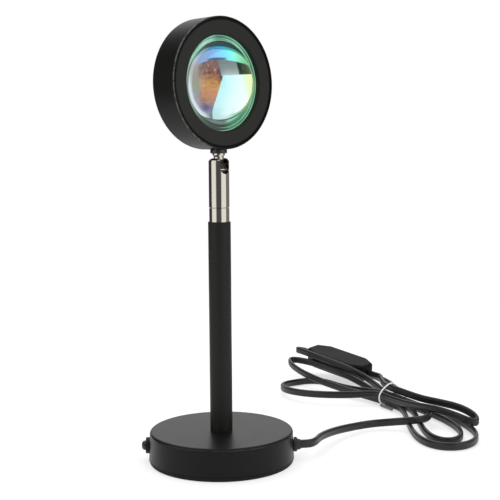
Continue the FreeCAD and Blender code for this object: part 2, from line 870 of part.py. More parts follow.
face = s.face_offset
head_back_plane = face - s.head_depth
floor_plane = head_back_plane + s.head_back
bezel_front = face - s.bezel_recess
bezel_back = bezel_front - s.bezel_thickness
inner_radius = s.head_radius - s.head_wall
aperture_radius = s.head_radius - s.rim_width
lens_dome_radius = aperture_radius - s.lens_step
lens_flange_radius = aperture_radius + s.lens_overlap
lens_ring_radius = aperture_radius - s.lens_ring_inset
sink_radius = inner_radius - s.sink_clearance
holder_foot_radius = sink_radius - s.holder_foot_margin
holder_screw_circle = holder_foot_radius - s.holder_screw_margin
rebate_radius = s.head_radius - s.rebate_wall
flange_front = bezel_back - s.gasket_thickness
flange_back = flange_front - s.lens_flange_thickness
filter_front = flange_back - s.face_gap
filter_back = filter_front - s.filter_thickness
ledge_front = filter_back - s.face_gap
holder_bore = lens_flange_radius + s.seat_clearance
holder_radius = holder_bore + s.holder_wall
window_radius = holder_bore - 2.2
sink_front = floor_plane + s.sink_thickness
foot_front = sink_front + s.holder_ledge
board_front = sink_front + s.board_thickness
boss_height = 0.95


def head_shell():
    """A cast cup with a rebate for the front plate and a drilled boss for the stud."""
    corners = [
        (0, head_back_plane),
        (s.head_radius, head_back_plane),
        (s.head_radius, face),
        (rebate_radius, face),
        (rebate_radius, bezel_back),
        (inner_radius, bezel_back),
        (inner_radius, floor_plane),
        (0, floor_plane),
    ]
    body = turned("DrumCup", corners)
    rounded(body, s.head_back_round, (s.head_radius, head_back_plane))
    rounded(body, s.head_lip_round, (s.head_radius, face))
    boss_blank = rod("boss_rod", 6.4, 6, y=-(inner_radius - boss_height), turn=TO_FRONT)
    boss_room = bezel_back - s.face_gap - head_back_plane
    inside = rod("boss_limit", s.head_radius - 0.5, boss_room, z=head_back_plane)
    boss = document.addObject("Part::Common", "stud_boss")
    boss.Base = boss_blank
    boss.Tool = inside
    cup = join("drum_with_boss", body, boss)
    drill = rod("stud_hole", s.stud_thread_radius + s.face_gap, 12, y=-(s.head_radius - 8), turn=TO_FRONT)
    flat_y = -(s.head_radius - spot_depth)
    flat = rod("spot_face_cut", s.collar_nut_radius + 0.5, 3, y=flat_y, turn=TO_FRONT)
    taps = [
        rod(f"shell_tap_{i}", s.holder_screw_radius + s.thread_clearance, s.head_back - 0.6, x=x, y=y,
            z=floor_plane - s.head_back + 0.6)
        for i, (x, y) in enumerate(circle_spots(holder_screw_circle, 3, 90))
    ]
    return keep("head_shell", cut("HeadShell", cup, drill, flat, *taps), HEAD_PLACE)


def front_bezel():
    outer = rebate_radius - s.face_gap
    corners = [
        (aperture_radius, bezel_back),
        (outer, bezel_back),
        (outer, bezel_front - 0.2),
        (outer - 0.2, bezel_front),
        (aperture_radius + s.aperture_chamfer, bezel_front),
        (aperture_radius, bezel_front - s.aperture_chamfer),
    ]
    return keep("front_bezel", turned("FrontBezel", corners), HEAD_PLACE)


def lens_gasket():
    ring = rod("gasket_disc", holder_bore - s.seat_clearance, s.gasket_thickness, z=flange_front)
    hole = rod("gasket_hole", aperture_radius + 0.2, 5, z=flange_front - 2)
    return keep("lens_gasket", cut("LensGasket", ring, hole), HEAD_PLACE)


def lens():
    """A half ball of glass on a flat flange with one raised ring."""
    centre = flange_back + 0.3
    sphere = ball("lens_sphere", lens_dome_radius, z=centre)
    half = rod("lens_half", lens_flange_radius, lens_dome_radius * 2, z=flange_back)
    dome = document.addObject("Part::Common", "lens_dome")
    dome.Base = sphere
    dome.Tool = half
    flange = rod("lens_flange", lens_flange_radius, s.lens_flange_thickness, z=flange_back)
    ridge_outer = rod("lens_ridge_out", lens_ring_radius, s.lens_ring_height + 1, z=flange_front - 1)
    ridge_inner = rod("lens_ridge_in", lens_ring_radius - s.lens_ring_width, 4, z=flange_front - 2)
    ridge = cut("lens_ridge", ridge_outer, ridge_inner)
    return keep("lens", join("Lens", flange, dome, ridge), HEAD_PLACE)


def filter_disc():
    radius = lens_flange_radius - 0.2
    corners = [(0, filter_back), (radius, filter_back), (radius, filter_front), (0, filter_front)]
    return keep("filter_disc", turned("FilterDisc", corners), HEAD_PLACE)


def lens_holder():
    """A black cup that centres lens and filter and stands on the heat sink."""
    waist_radius = holder_radius - 1.7
    corners = [
        (window_radius, sink_front),
        (holder_foot_radius, sink_front),
        (holder_foot_radius, foot_front),
        (waist_radius, foot_front),
        (waist_radius, ledge_front - s.holder_ledge),
        (holder_radius, ledge_front - s.holder_ledge),
        (holder_radius, bezel_back - s.face_gap),
        (holder_bore, bezel_back - s.face_gap),
        (holder_bore, ledge_front),
        (window_radius, ledge_front),
    ]
    body = turned("HolderCup", corners)
    holes = screw_ring("holder_hole", s.holder_screw_radius + s.seat_clearance, 9, sink_front - 4)
    return keep("lens_holder", cut("LensHolder", body, *holes), HEAD_PLACE)


def screw_ring(label, radius, length, z):
    """Three rods on the holder's screw circle."""
    spots = circle_spots(holder_screw_circle, 3, 90)
    return [rod(f"{label}_{i}", radius, length, x=x, y=y, z=z) for i, (x, y) in enumerate(spots)]


def heat_sink():
    disc = rod("sink_disc", sink_radius, s.sink_thickness, z=floor_plane)
    holes = screw_ring("sink_hole", s.holder_screw_radius + s.seat_clearance, 9, floor_plane - 3)
    for i, side in enumerate((-1, 1)):
        holes.append(rod(f"sink_tap_{i}", s.board_screw_radius + s.thread_clearance, 1.8,
                         x=side * s.board_screw_circle, z=sink_front - 1.8))
    return keep("heat_sink", cut("HeatSink", disc, *holes), HEAD_PLACE)


def led_board_set():
    """A round board on the heat sink, its emitter and its two screws."""
    disc = rod("board_disc", s.board_radius, s.board_thickness, z=sink_front)
    notches = [
        rod(f"board_notch_{i}", s.board_screw_radius + s.seat_clearance, 6, x=side * s.board_screw_circle,
            z=sink_front - 2)
        for i, side in enumerate((-1, 1))
    ]
    keep("led_board", cut("LedBoard", disc, *notches), HEAD_PLACE)
    pad = block("emitter_pad", s.emitter_side, s.emitter_side, s.emitter_height, z=board_front)
    bubble = document.addObject("Part::Common", "emitter_bubble")
    bubble.Base = ball("emitter_ball", s.emitter_dome, z=board_front + s.emitter_height)
    bubble.Tool = rod("emitter_limit", s.emitter_dome * 2, s.emitter_dome * 2, z=board_front)
    keep("led_emitter", join("LedEmitter", pad, bubble), HEAD_PLACE)
    screws = []
    for i, side in enumerate((-1, 1)):
        x = side * s.board_screw_circle
        shank = rod(f"board_shank_{i}", s.board_screw_radius, s.board_thickness + 1.5, x=x, z=sink_front - 1.5)
        screws.append(shank)
        screws.append(rod(f"board_head_{i}", s.board_screw_head, 1.0, x=x, z=board_front))
    keep("board_screws", join("BoardScrews", *screws), HEAD_PLACE)


def holder_screws():
    shank_foot = floor_plane - 1.5
    shanks = screw_ring("holder_shank", s.holder_screw_radius, foot_front - shank_foot, shank_foot)
    heads = screw_ring("holder_head", s.holder_screw_head, 1.3, foot_front)
    return keep("holder_screws", join("HolderScrews", *shanks, *heads), HEAD_PLACE)


def stud_nuts():
    """The black collar nut under the head and the plain nut inside it."""
    edge = 0.4
    bore = s.stud_thread_radius + s.thread_clearance
    corners = [
        (bore, nut_seat),
        (s.collar_nut_radius - edge, nut_seat),
        (s.collar_nut_radius, nut_seat + edge),
        (s.collar_nut_radius, collar_nut_top - edge),
        (s.collar_nut_radius - edge, collar_nut_top),
        (bore, collar_nut_top),
    ]
    keep("collar_nut", turned("CollarNut", corners))
    nut_foot = head_height - inner_radius + boss_height + s.face_gap
    blank = nut_blank("inner_nut_blank", s.inner_nut_flats, s.inner_nut_thickness, z=nut_foot)
    hole = rod("inner_nut_hole", bore, 9, z=nut_foot - 3)
    keep("inner_nut", cut("InnerNut", blank, hole), TURNED_TO_FRONT)


def head_parts():
    head_shell()
    front_bezel()
    lens_gasket()
    lens()
    filter_disc()
    lens_holder()
    heat_sink()
    led_board_set()
    holder_screws()
    stud_nuts()


base_parts()
stem_parts()
swivel_parts()
head_parts()


# ---------------------------------------------------------------- lead

def level_heading(degrees):
    angle = math.radians(degrees)
    return Vector(math.cos(angle), math.sin(angle), 0)


# the switch lies on its own lead behind the base, one end raised
SWITCH_MIDDLE = Vector(92.2, 219.3, 14.3)
SWITCH_HEADING = 135.0
SWITCH_PITCH = 7.6
SWITCH_ROLL = 5.0
SWITCH_TURN = (
    Rotation(Vector(0, 0, 1), SWITCH_HEADING)
    .multiply(Rotation(Vector(0, 1, 0), -SWITCH_PITCH))
    .multiply(Rotation(Vector(1, 0, 0), -SWITCH_ROLL))
)
SWITCH_PLACE = Placement(SWITCH_MIDDLE, SWITCH_TURN)
SWITCH_AXIS = SWITCH_TURN.multVec(Vector(1, 0, 0))
SWITCH_FRONT = level_heading(SWITCH_HEADING + 90)


def beside_switch(along, out, up):
    """A point given from the switch's raised end: along its axis, out to its front, and up."""
    end = SWITCH_MIDDLE + SWITCH_AXIS * (s.switch_length.value / 2)
    return end + SWITCH_AXIS * along + SWITCH_FRONT * out + Vector(0, 0, up)


# the tie: its middle, the heading of the strands through it, and each strand's place in it,
# as (to the left looking along the heading, height, length behind the tie, length past the tie)
TIE_MIDDLE = Vector(123.5, 130.0, 0)
TIE_HEADING = 116.0
STRANDS = {
    "first_in": (2.6, 8.7, 14, 8),
    "first_back": (7.7, 8.7, 16, 8),
    "first_out": (0.5, 13.9, 16, 8),
    "second_in": (-5.1, 3.5, 26, 8),
    "second_mid": (0.0, 3.5, 26, 8),
    "second_back": (5.1, 3.5, 22, 8),
    "second_out": (-10.2, 3.5, 26, 8),
}

# each loop of the hank: heading, reach, width, bend, tip height, side lean, hump and neck opening
LOOPS = {
    "low_left": (166, 88, 54, -32, 2.6, 0.10, 0.0, 0.0),
    "high_right": (-64, 74, 11, 10, 7.4, 0.0, 4.6, -0.3),
    "inner_right": (-74, 82, 22, -9, 2.5, 0.0, 0.0, 0.0),
    "high_left": (125, 114, 23, 0, 15.0, -0.06, 0.0, 0.3),
    "outer_right": (-74, 96, 34, -9, 2.5, 0.0, 0.0, 0.0),
}
LOOP_STEPS = 12
GROUND_CLEARANCE = 2.5

# the stretch from the lamp to the tie, after the straight run through the bush
FREE_POINTS = [
    Vector(59, 6.2, 9.2),
    Vector(62.5, 20, 8.4),
    Vector(73, 39.5, 6.6),
    Vector(88, 56.5, 4.8),
    Vector(101, 65, 4.4),
    Vector(113.5, 64, 5.6),
    Vector(126, 58.5, 7.9),
    Vector(138, 63.5, 7.7),
    Vector(143.5, 76, 7.7),
    Vector(140.5, 90.5, 8.0),
]
# from the tie to the switch's low end, and from the raised end back along the switch's front
TO_SWITCH_POINTS = [Vector(119.5, 160, 13.0), Vector(121.5, 178, 11.4)]
FROM_SWITCH_PLACES = [
    (0, 0, 0),
    (4.5, 0, 0),
    (9.3, 2, 0.3),
    (11, 6.5, 1.0),
    (7.5, 10.6, 2.2),
    (-3, 12.5, 3.4),
    (-20, 15.5, 4.2),
    (-40, 15.4, 4.2),
    (-56, 14.8, 3.2),
    (-70, 11, -0.5),
]
# from the tie to the plug, behind the switch
TO_PLUG_POINTS = [
    Vector(130, 163, 2.6),
    Vector(133, 178, 2.6),
    Vector(129, 196, 3.0),
    Vector(120, 214, 4.4),
    Vector(112, 228, 4.4),
]


def strand_point(name, along):
    """A point of a strand in the tie, along the heading from the tie's middle."""
    left, height, _, _ = STRANDS[name]
    forward = level_heading(TIE_HEADING)
    sideways = level_heading(TIE_HEADING + 90)
    return TIE_MIDDLE + forward * along + sideways * left + Vector(0, 0, height)


def strand_ends(name):
    _, _, behind, past = STRANDS[name]
    return strand_point(name, -behind), strand_point(name, past)


def through_tie(name, backwards=False):
    """The straight stretch of a strand through the tie, as three points."""
    behind, past = strand_ends(name)
    middle = strand_point(name, -2.8 if name.startswith("first") else -7.0)
    points = [behind, middle, past]
    return points[::-1] if backwards else points


def hank_loop(start, end, side, shape):
    """The inner points of one loop, from its start and end in the tie."""
    heading, reach, width, bend, tip_height, lean, hump, opening = shape
    points = []
    for i in range(1, LOOP_STEPS):
        t = i / LOOP_STEPS
        rise = math.sin(math.pi * t)
        wave = math.sin(2 * math.pi * t)
        along = reach * rise
        across = side * width / 2 * wave * (1 + opening * math.cos(2 * math.pi * t))
        angle = heading + bend * along / reach
        ends = start * (1 - t) + end * t
        height = ends.z * (1 - rise) + tip_height * rise + lean * across + hump * wave**2
        spot = ends + level_heading(angle) * along + level_heading(angle + 90) * across
        points.append(Vector(spot.x, spot.y, max(height, GROUND_CLEARANCE)))
    return points


def left_loop(first, second, side, shape):
    return hank_loop(strand_ends(first)[1], strand_ends(second)[1], side, LOOPS[shape])


def right_loop(first, second, side, shape):
    return hank_loop(strand_ends(first)[0], strand_ends(second)[0], side, LOOPS[shape])


def lead_hank_points():
    """The lead's first part of the hank, from the free stretch to the switch's low end."""
    points = through_tie("first_in")
    points += left_loop("first_in", "first_back", -1, "low_left")
    points += through_tie("first_back", backwards=True)
    points += right_loop("first_back", "first_out", -1, "high_right")
    points += through_tie("first_out")
    points += TO_SWITCH_POINTS
    length = s.switch_length.value
    return points + [beside_switch(-length - 6.5, 0, 0), beside_switch(-length, 0, 0)]


def tail_hank_points():
    """The second part, from the switch's raised end to the plug."""
    points = [beside_switch(*place) for place in FROM_SWITCH_PLACES]
    points += through_tie("second_in", backwards=True)
    points += right_loop("second_in", "second_mid", 1, "inner_right")
    points += through_tie("second_mid")
    points += left_loop("second_mid", "second_back", -1, "high_left")
    points += through_tie("second_back", backwards=True)
    points += right_loop("second_back", "second_out", -1, "outer_right")
    points += through_tie("second_out")
    return points + TO_PLUG_POINTS


def free_points():
    """The free stretch: straight through the bush, over the table and into line with the tie."""
    start = strand_ends("first_in")[0]
    exit_run = bush_nose_end.value + 4.6
    height = s.side_height.value
    points = [Vector(bush_tail.value, 0, height), Vector(exit_run, 0, height)]
    return points + FREE_POINTS + [start - level_heading(TIE_HEADING) * 13, start]


def lead_parts():
    radius = s.cord_radius.value
    free, free_wire = tube("LeadFree", run_route(free_points()), radius)
    keep("lead_free", free)
    hank, hank_wire = tube("LeadHank", smooth_route(lead_hank_points()), radius)
    keep("lead_hank", hank)
    tail, tail_wire = tube("TailHank", smooth_route(tail_hank_points()), radius)
    keep("tail_hank", tail)
    samples = {"free": sample(free_wire, 2), "hank": sample(hank_wire, 2), "tail": sample(tail_wire, 2)}
    names = list(samples)
    for i, first in enumerate(names):
        for second in names[i:]:
            if {first, second} == {"free", "hank"}:
                shortened = [(d, p) for d, p in samples["free"] if d < free_wire.Length - 16]
                gap = least_gap(shortened, samples["hank"], 2 * radius, 0)
            else:
                gap = least_gap(samples[first], samples[second], 2 * radius, 8 * radius)
            print(f"least gap {first} to {second}: {gap:.2f}")


def inner_lead():
    """The thin lead inside: from the bush over the weight, up the nipple and the stem."""
    radius = s.inner_lead_radius.value
    height = s.side_height.value
    bend = 6.0
    start = Vector(bush_tail.value, 0, height)
    corner = Vector(bend, 0, height)
    rise = Vector(0, 0, height + bend)
    middle = Vector(bend - bend * math.sin(math.pi / 4), 0, height + bend - bend * math.cos(math.pi / 4))
    top = Vector(0, 0, stem_top.value + 1.5)
    curves = [
        (Part.LineSegment(start, corner), math.inf),
        (Part.Arc(corner, middle, rise), bend),
        (Part.LineSegment(rise, top), math.inf),
    ]
    thing, _ = tube("InnerLead", curves, radius)
    keep("inner_lead", thing)


def lead_clamp():
    """A saddle over the inner lead, held to the weight by two screws."""
    channel = s.inner_lead_radius + s.running_clearance
    arch_radius = channel + 1.2
    foot = block("clamp_foot", 6, 16, 1.2, x=clamp_middle, z=weight_top)
    arch_rod = rod("clamp_arch_rod", arch_radius, 6, x=clamp_middle - 3, z=s.side_height, turn=SIDEWAYS)
    above = block("clamp_above", 8, 20, 8, x=clamp_middle, z=weight_top)
    arch = document.addObject("Part::Common", "clamp_arch")
    arch.Base = arch_rod
    arch.Tool = above
    blank = join("clamp_blank", foot, arch)
    cuts = [rod("clamp_channel", channel, 12, x=clamp_middle - 6, z=s.side_height, turn=SIDEWAYS)]
    cuts.append(block("clamp_slot", 8, channel * 2, s.side_height - weight_top, x=clamp_middle, z=weight_top))
    screws = []
    for i, side in enumerate((-1, 1)):
        y = side * clamp_screw_reach
        hole_radius = clamp_screw_radius + s.seat_clearance
        cuts.append(rod(f"clamp_hole_{i}", hole_radius, 5, x=clamp_middle, y=y, z=weight_top - 2))
        screws.append(rod(f"clamp_shank_{i}", clamp_screw_radius, clamp_screw_depth + 1.2, x=clamp_middle,
                          y=y, z=weight_top - clamp_screw_depth))
        screws.append(rod(f"clamp_head_{i}", 2.2, 1.3, x=clamp_middle, y=y, z=weight_top + 1.2))
    keep("lead_clamp", cut("LeadClamp", blank, *cuts))
    keep("clamp_screws", join("ClampScrews", *screws))


# ---------------------------------------------------------------- switch, plug and tie

def switch_plan():
    """The switch's outline: a long box with both ends tapered."""
    end = s.switch_length / 2
    waist = end - s.switch_taper
    corners = [(end, 1), (waist, 2), (-waist, 2), (-end, 1)]
    half = {1: s.switch_end_width / 2, 2: s.switch_width / 2}
    return [(x, half[k]) for x, k in corners] + [(x, -half[k]) for x, k in corners[::-1]]


def switch_half(name):
    """Half of the case, its outer edges rounded."""
    depth = s.switch_thickness / 2
    body = padded(name, switch_plan(), depth)
    upright = edges_along(body, Vector(0, 0, 1))
    dressed(body, "Fillet", s.switch_round, upright)
    outer = []
    for index, edge in enumerate(body.Tip.Shape.Edges, start=1):
        if all(abs(vertex.Point.z - depth.value) < 1e-6 for vertex in edge.Vertexes):
            outer.append(f"Edge{index}")
    return dressed(body, "Fillet", s.switch_round - 0.4, outer)


UNDERSIDE = Placement(Vector(), Rotation(Vector(1, 0, 0), 180))
ROCKER_TILT = 8.0


def inline_switch():
    """Two case halves, a rocker on two pins in the under half, and two case screws."""
    keep("switch_upper_case", switch_half("UpperCase"), SWITCH_PLACE)
    lower = switch_half("LowerCase")
    depth = s.switch_thickness / 2
    pivot = depth - 2.0
    well = block("rocker_well", s.rocker_length + 0.8, s.rocker_width + 0.6, 6, z=depth - 4.4)
    pin_length = s.rocker_width + 2.2
    pin_hole = rod("rocker_pin_hole", s.rocker_pin_radius + s.running_clearance, pin_length + 0.4,
                   y=pin_length / 2 + 0.2, z=pivot, turn=TO_FRONT)
    cuts = [well, pin_hole]
    screws = []
    for i, side in enumerate((-1, 1)):
        x = side * s.switch_screw_spread
        hole = s.switch_screw_radius + s.thread_clearance
        cuts.append(rod(f"case_hole_{i}", hole, 8, x=x, z=depth - 6))
        cuts.append(rod(f"case_sink_{i}", s.switch_screw_radius * 2 + 0.2, 2, x=x, z=depth - 1.4))
        screws.append(rod(f"case_shank_{i}", s.switch_screw_radius, 5, x=x, z=depth - 5.8))
        screws.append(rod(f"case_head_{i}", s.switch_screw_radius * 2, 1, x=x, z=depth - 1.4))
    case = cut("LowerCaseCut", lower, *cuts)
    turned_under = SWITCH_PLACE.multiply(UNDERSIDE)
    keep("switch_lower_case", case, turned_under)
    keep("switch_screws", join("SwitchScrews", *screws), turned_under)
    rocker(turned_under, pivot)


def rocker(place, pivot):
    """A rocker with a shallow notch across its middle, at rest with one end pressed in."""
    half = s.rocker_length / 2
    end_rise = s.rocker_rise - 1.05
    corners = [
        (half, end_rise + 2.0),
        (0, end_rise + 1.5),
        (-half, end_rise + 2.0),
        (-half, -0.2),
        (half, -0.2),
    ]
    body = padded("RockerBody", corners, s.rocker_width, role="XZ_Plane")
    box = body.Tip.Shape.BoundBox
    middle = (box.YMin + box.YMax) / 2
    direction = 1 if middle < 0 else -1
    shifted = stand(body, y=direction * s.rocker_width / 2)
    pin_length = s.rocker_width + 2.0
    pin = rod("rocker_pin", s.rocker_pin_radius, pin_length, y=pin_length / 2, turn=TO_FRONT)
    whole = join("SwitchRocker", shifted, pin)
    tilt = Placement(Vector(0, 0, pivot.value), Rotation(Vector(0, 1, 0), ROCKER_TILT))
    keep("switch_rocker", whole, place.multiply(tilt))


def plug():
    """A flat plug: a moulded grip, a folded metal shell, and a tongue with four contacts."""
    last, end = TO_PLUG_POINTS[-2:]
    direction = end - last
    heading = math.degrees(math.atan2(direction.y, direction.x))
    place = Placement(end, Rotation(Vector(0, 0, 1), heading))
    rear = s.plug_width * 0.55
    shoulder = 8.0
    plan = [
        (0, -rear / 2),
        (shoulder, -s.plug_width / 2),
        (s.plug_length, -s.plug_width / 2),
        (s.plug_length, s.plug_width / 2),
        (shoulder, s.plug_width / 2),
        (0, rear / 2),
    ]
    grip = padded("PlugGrip", plan, s.plug_thickness)
    dressed(grip, "Fillet", s.plug_round, edges_along(grip, Vector(0, 0, 1)))
    keep("plug_grip", grip, place.multiply(Placement(Vector(0, 0, -s.plug_thickness.value / 2), Rotation())))
    length = s.plug_shell_length
    middle = s.plug_length + length / 2
    wall = s.plug_shell_wall
    height = s.plug_shell_height
    outside = block("shell_outside", length, s.plug_shell_width, height, x=middle, z=-height / 2)
    inside = block("shell_inside", length + 2, s.plug_shell_width - wall * 2, height - wall * 2,
                   x=middle, z=-height / 2 + wall)
    windows = []
    for i, side in enumerate((-1, 1)):
        windows.append(block(f"shell_window_{i}", 2, 2, 9, x=s.plug_length + 12, y=side * 2.6, z=-4))
    keep("plug_shell", cut("PlugShell", outside, inside, *windows), place)
    inner_top = height / 2 - wall
    tongue_half = s.plug_shell_width / 2 - wall - 0.1
    tip = s.plug_length + length - 1
    tongue_plan = [
        (s.plug_length, -tongue_half),
        (tip, -tongue_half),
        (tip, tongue_half),
        (s.plug_length, tongue_half),
    ]
    tongue = padded("PlugTongue", tongue_plan, 1.85)
    tongue_foot = (inner_top - 1.9).value
    keep("plug_tongue", tongue, place.multiply(Placement(Vector(0, 0, tongue_foot), Rotation())))
    strips = []
    for i, offset in enumerate((-3.5, -1.0, 1.0, 3.5)):
        strips.append(block(f"contact_{i}", 8.5, 1.0, 0.2, x=s.plug_length + 11, y=offset, z=inner_top - 2.15))
    keep("plug_contacts", join("PlugContacts", *strips), place)


# the tie's corners in its own plane: to the left looking along the strands, and up
TIE_CORNERS = [(-12.8, 0.75), (8.8, 0.75), (12.4, 9.3), (3.0, 17.5), (-2.8, 17.2), (-13.8, 4.6)]


def twist_tie():
    """A coated wire round the strands, with its two ends twisted together."""
    sideways = level_heading(TIE_HEADING + 90)
    corners = [TIE_MIDDLE + sideways * left + Vector(0, 0, up) for left, up in TIE_CORNERS]
    ring, _ = tube("tie_ring", run_route(corners, closed=True), s.tie_wire_radius.value)
    start = TIE_MIDDLE + sideways * 9.6 + Vector(0, 0, 1.6)
    direction = unit(Vector(5.0, -12.0, 0.0))
    turn = Rotation(Vector(0, 0, 1), direction)
    tail_radius = s.tie_wire_radius * 1.8
    tail = rod("tie_tail", tail_radius, s.tie_tail_length, x=start.x, y=start.y, z=start.z, turn=turn)
    keep("twist_tie", join("TwistTie", ring, tail))


lead_parts()
inner_lead()
lead_clamp()
inline_switch()
plug()
twist_tie()


# ---------------------------------------------------------------- check and write

document.recompute()
for thing in document.Objects:
    if "Invalid" in thing.State or "Error" in thing.State:
        raise RuntimeError(f"{thing.Name} failed: {thing.State}")
for node, thing in parts.items():
    if thing.Shape.isNull() or not thing.Shape.isValid() or not thing.Shape.Solids:
        raise RuntimeError(f"{node} has no valid solid")

os.makedirs("parts", exist_ok=True)
for node, thing in parts.items():
    thing.Shape.exportStep(f"parts/{node}.step")
print(f"{len(parts)} parts")
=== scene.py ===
import logging
import math
from dataclasses import dataclass, field
from enum import Enum

import bmesh
import bpy
from bmesh.types import BMesh
from bpy.types import Curve, Material, Object
from mathutils import Matrix, Vector


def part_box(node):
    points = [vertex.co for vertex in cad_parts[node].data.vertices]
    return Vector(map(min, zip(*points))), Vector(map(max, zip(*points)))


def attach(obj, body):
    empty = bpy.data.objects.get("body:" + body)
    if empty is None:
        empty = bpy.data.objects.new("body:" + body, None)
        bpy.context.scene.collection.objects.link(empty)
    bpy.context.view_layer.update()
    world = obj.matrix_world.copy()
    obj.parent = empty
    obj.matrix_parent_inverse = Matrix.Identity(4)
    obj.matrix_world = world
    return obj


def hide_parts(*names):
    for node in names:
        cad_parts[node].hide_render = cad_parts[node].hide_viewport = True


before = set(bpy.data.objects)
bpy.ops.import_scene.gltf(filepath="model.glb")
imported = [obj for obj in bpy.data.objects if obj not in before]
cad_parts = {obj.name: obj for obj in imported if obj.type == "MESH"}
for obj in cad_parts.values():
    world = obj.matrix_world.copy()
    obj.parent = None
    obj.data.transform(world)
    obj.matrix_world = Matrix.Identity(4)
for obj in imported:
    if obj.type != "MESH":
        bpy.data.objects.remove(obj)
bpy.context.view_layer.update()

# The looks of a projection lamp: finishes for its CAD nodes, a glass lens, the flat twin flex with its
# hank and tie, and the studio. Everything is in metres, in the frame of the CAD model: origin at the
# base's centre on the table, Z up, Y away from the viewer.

log = logging.getLogger("lamp")

Colour = tuple[float, float, float]
Point = tuple[float, float, float]

MILLIMETRE = 0.001
UP = Vector((0, 0, 1))


# ---------------------------------------------------------------- shader maths

class Signal:
    """A value travelling through a node tree, with arithmetic that adds Math nodes."""

    def __init__(self, tree: "Tree", socket: bpy.types.NodeSocket) -> None:
        """Wraps one output socket of a tree."""
        self.tree = tree
        self.socket = socket

    def math(self, operation: str, *values: "Signal | float") -> "Signal":
        """Adds one Math node, with its inputs in order, and gives its result."""
        return self.tree.node("ShaderNodeMath", {"operation": operation}, dict(enumerate(values)))

    def __add__(self, other: "Signal | float") -> "Signal":
        """Sum."""
        return self.math("ADD", self, other)

    __radd__ = __add__

    def __sub__(self, other: "Signal | float") -> "Signal":
        """Difference."""
        return self.math("SUBTRACT", self, other)

    def __rsub__(self, other: float) -> "Signal":
        """Difference from a number."""
        return self.math("SUBTRACT", other, self)

    def __mul__(self, other: "Signal | float") -> "Signal":
        """Product."""
        return self.math("MULTIPLY", self, other)

    __rmul__ = __mul__

    def __truediv__(self, other: "Signal | float") -> "Signal":
        """Quotient."""
        return self.math("DIVIDE", self, other)

    def __abs__(self) -> "Signal":
        """Absolute value."""
        return self.math("ABSOLUTE", self)

    def root(self) -> "Signal":
        """Square root."""
        return self.math("SQRT", self)

    def most(self, other: "Signal | float") -> "Signal":
        """The larger of two values."""
        return self.math("MAXIMUM", self, other)

    def rise(self, low: float, high: float) -> "Signal":
        """A smooth step: 0 up to the low value and 1 from the high one."""
        settings = {"interpolation_type": "SMOOTHSTEP"}
        return self.tree.node("ShaderNodeMapRange", settings, {0: self, 1: low, 2: high, 3: 0.0, 4: 1.0})

    def band(self, centre: float, half: float, soft: float) -> "Signal":
        """1 up to half a width from the centre, and 0 beyond a soft edge."""
        return 1 - abs(self - centre).rise(half, half + soft)


class Tree:
    """A node tree under construction."""

    def __init__(self, nodes: bpy.types.NodeTree) -> None:
        """Wraps the node tree to build in."""
        self.nodes = nodes

    def node(self, kind: str, settings: dict | None = None, values: dict | None = None,
             output: int = 0) -> Signal:
        """Adds one node of any type.

        Args:
            kind: the node's type name.
            settings: properties set before its sockets; "stops" fills a colour ramp.
            values: a constant or a Signal for each named or numbered input.
            output: the number of the output to return.

        Returns:
            The chosen output.
        """
        made = self.nodes.nodes.new(kind)
        for key, value in (settings or {}).items():
            if key == "stops":
                self.fill_ramp(made.color_ramp, value)
            else:
                setattr(made, key, value)
        for key, value in (values or {}).items():
            self.feed(made.inputs[key], value)
        return Signal(self, made.outputs[output])

    def feed(self, socket: bpy.types.NodeSocket, value: "Signal | float | tuple") -> None:
        """Sets or links one input socket."""
        if isinstance(value, Signal):
            self.nodes.links.new(value.socket, socket)
        else:
            socket.default_value = value

    @staticmethod
    def fill_ramp(ramp: bpy.types.ColorRamp, stops: list[tuple[float, Colour]]) -> None:
        """Fills a colour ramp.

        Args:
            ramp: the ramp.
            stops: a place from 0 to 1 and a colour for each stop.
        """
        while len(ramp.elements) < len(stops):
            ramp.elements.new(1.0)
        for element, (place, colour) in zip(ramp.elements, stops):
            element.position = place
            element.color = (*colour, 1.0)

    def ramp(self, value: Signal, stops: list[tuple[float, Colour]]) -> Signal:
        """A colour that follows a value through stops."""
        return self.node("ShaderNodeValToRGB", {"stops": stops}, {0: value})

    def layer(self, under: "Signal | Colour", over: "Signal | Colour", share: "Signal | float") -> Signal:
        """Lays one colour over another.

        Args:
            under: the colour below.
            over: the colour on top.
            share: how much of the top colour shows, from 0 to 1.

        Returns:
            The mixed colour.
        """
        colours = [c if isinstance(c, Signal) else (*c, 1.0) for c in (under, over)]
        values = {0: share, 6: colours[0], 7: colours[1]}
        return self.node("ShaderNodeMix", {"data_type": "RGBA"}, values, output=2)

    def shaded(self, colour: "Signal | Colour", amount: "Signal | float") -> Signal:
        """Multiplies a colour by a grey value."""
        tone = self.node("ShaderNodeCombineColor", None, {0: amount, 1: amount, 2: amount})
        under = colour if isinstance(colour, Signal) else (*colour, 1.0)
        settings = {"data_type": "RGBA", "blend_type": "MULTIPLY"}
        return self.node("ShaderNodeMix", settings, {0: 1.0, 6: under, 7: tone}, output=2)


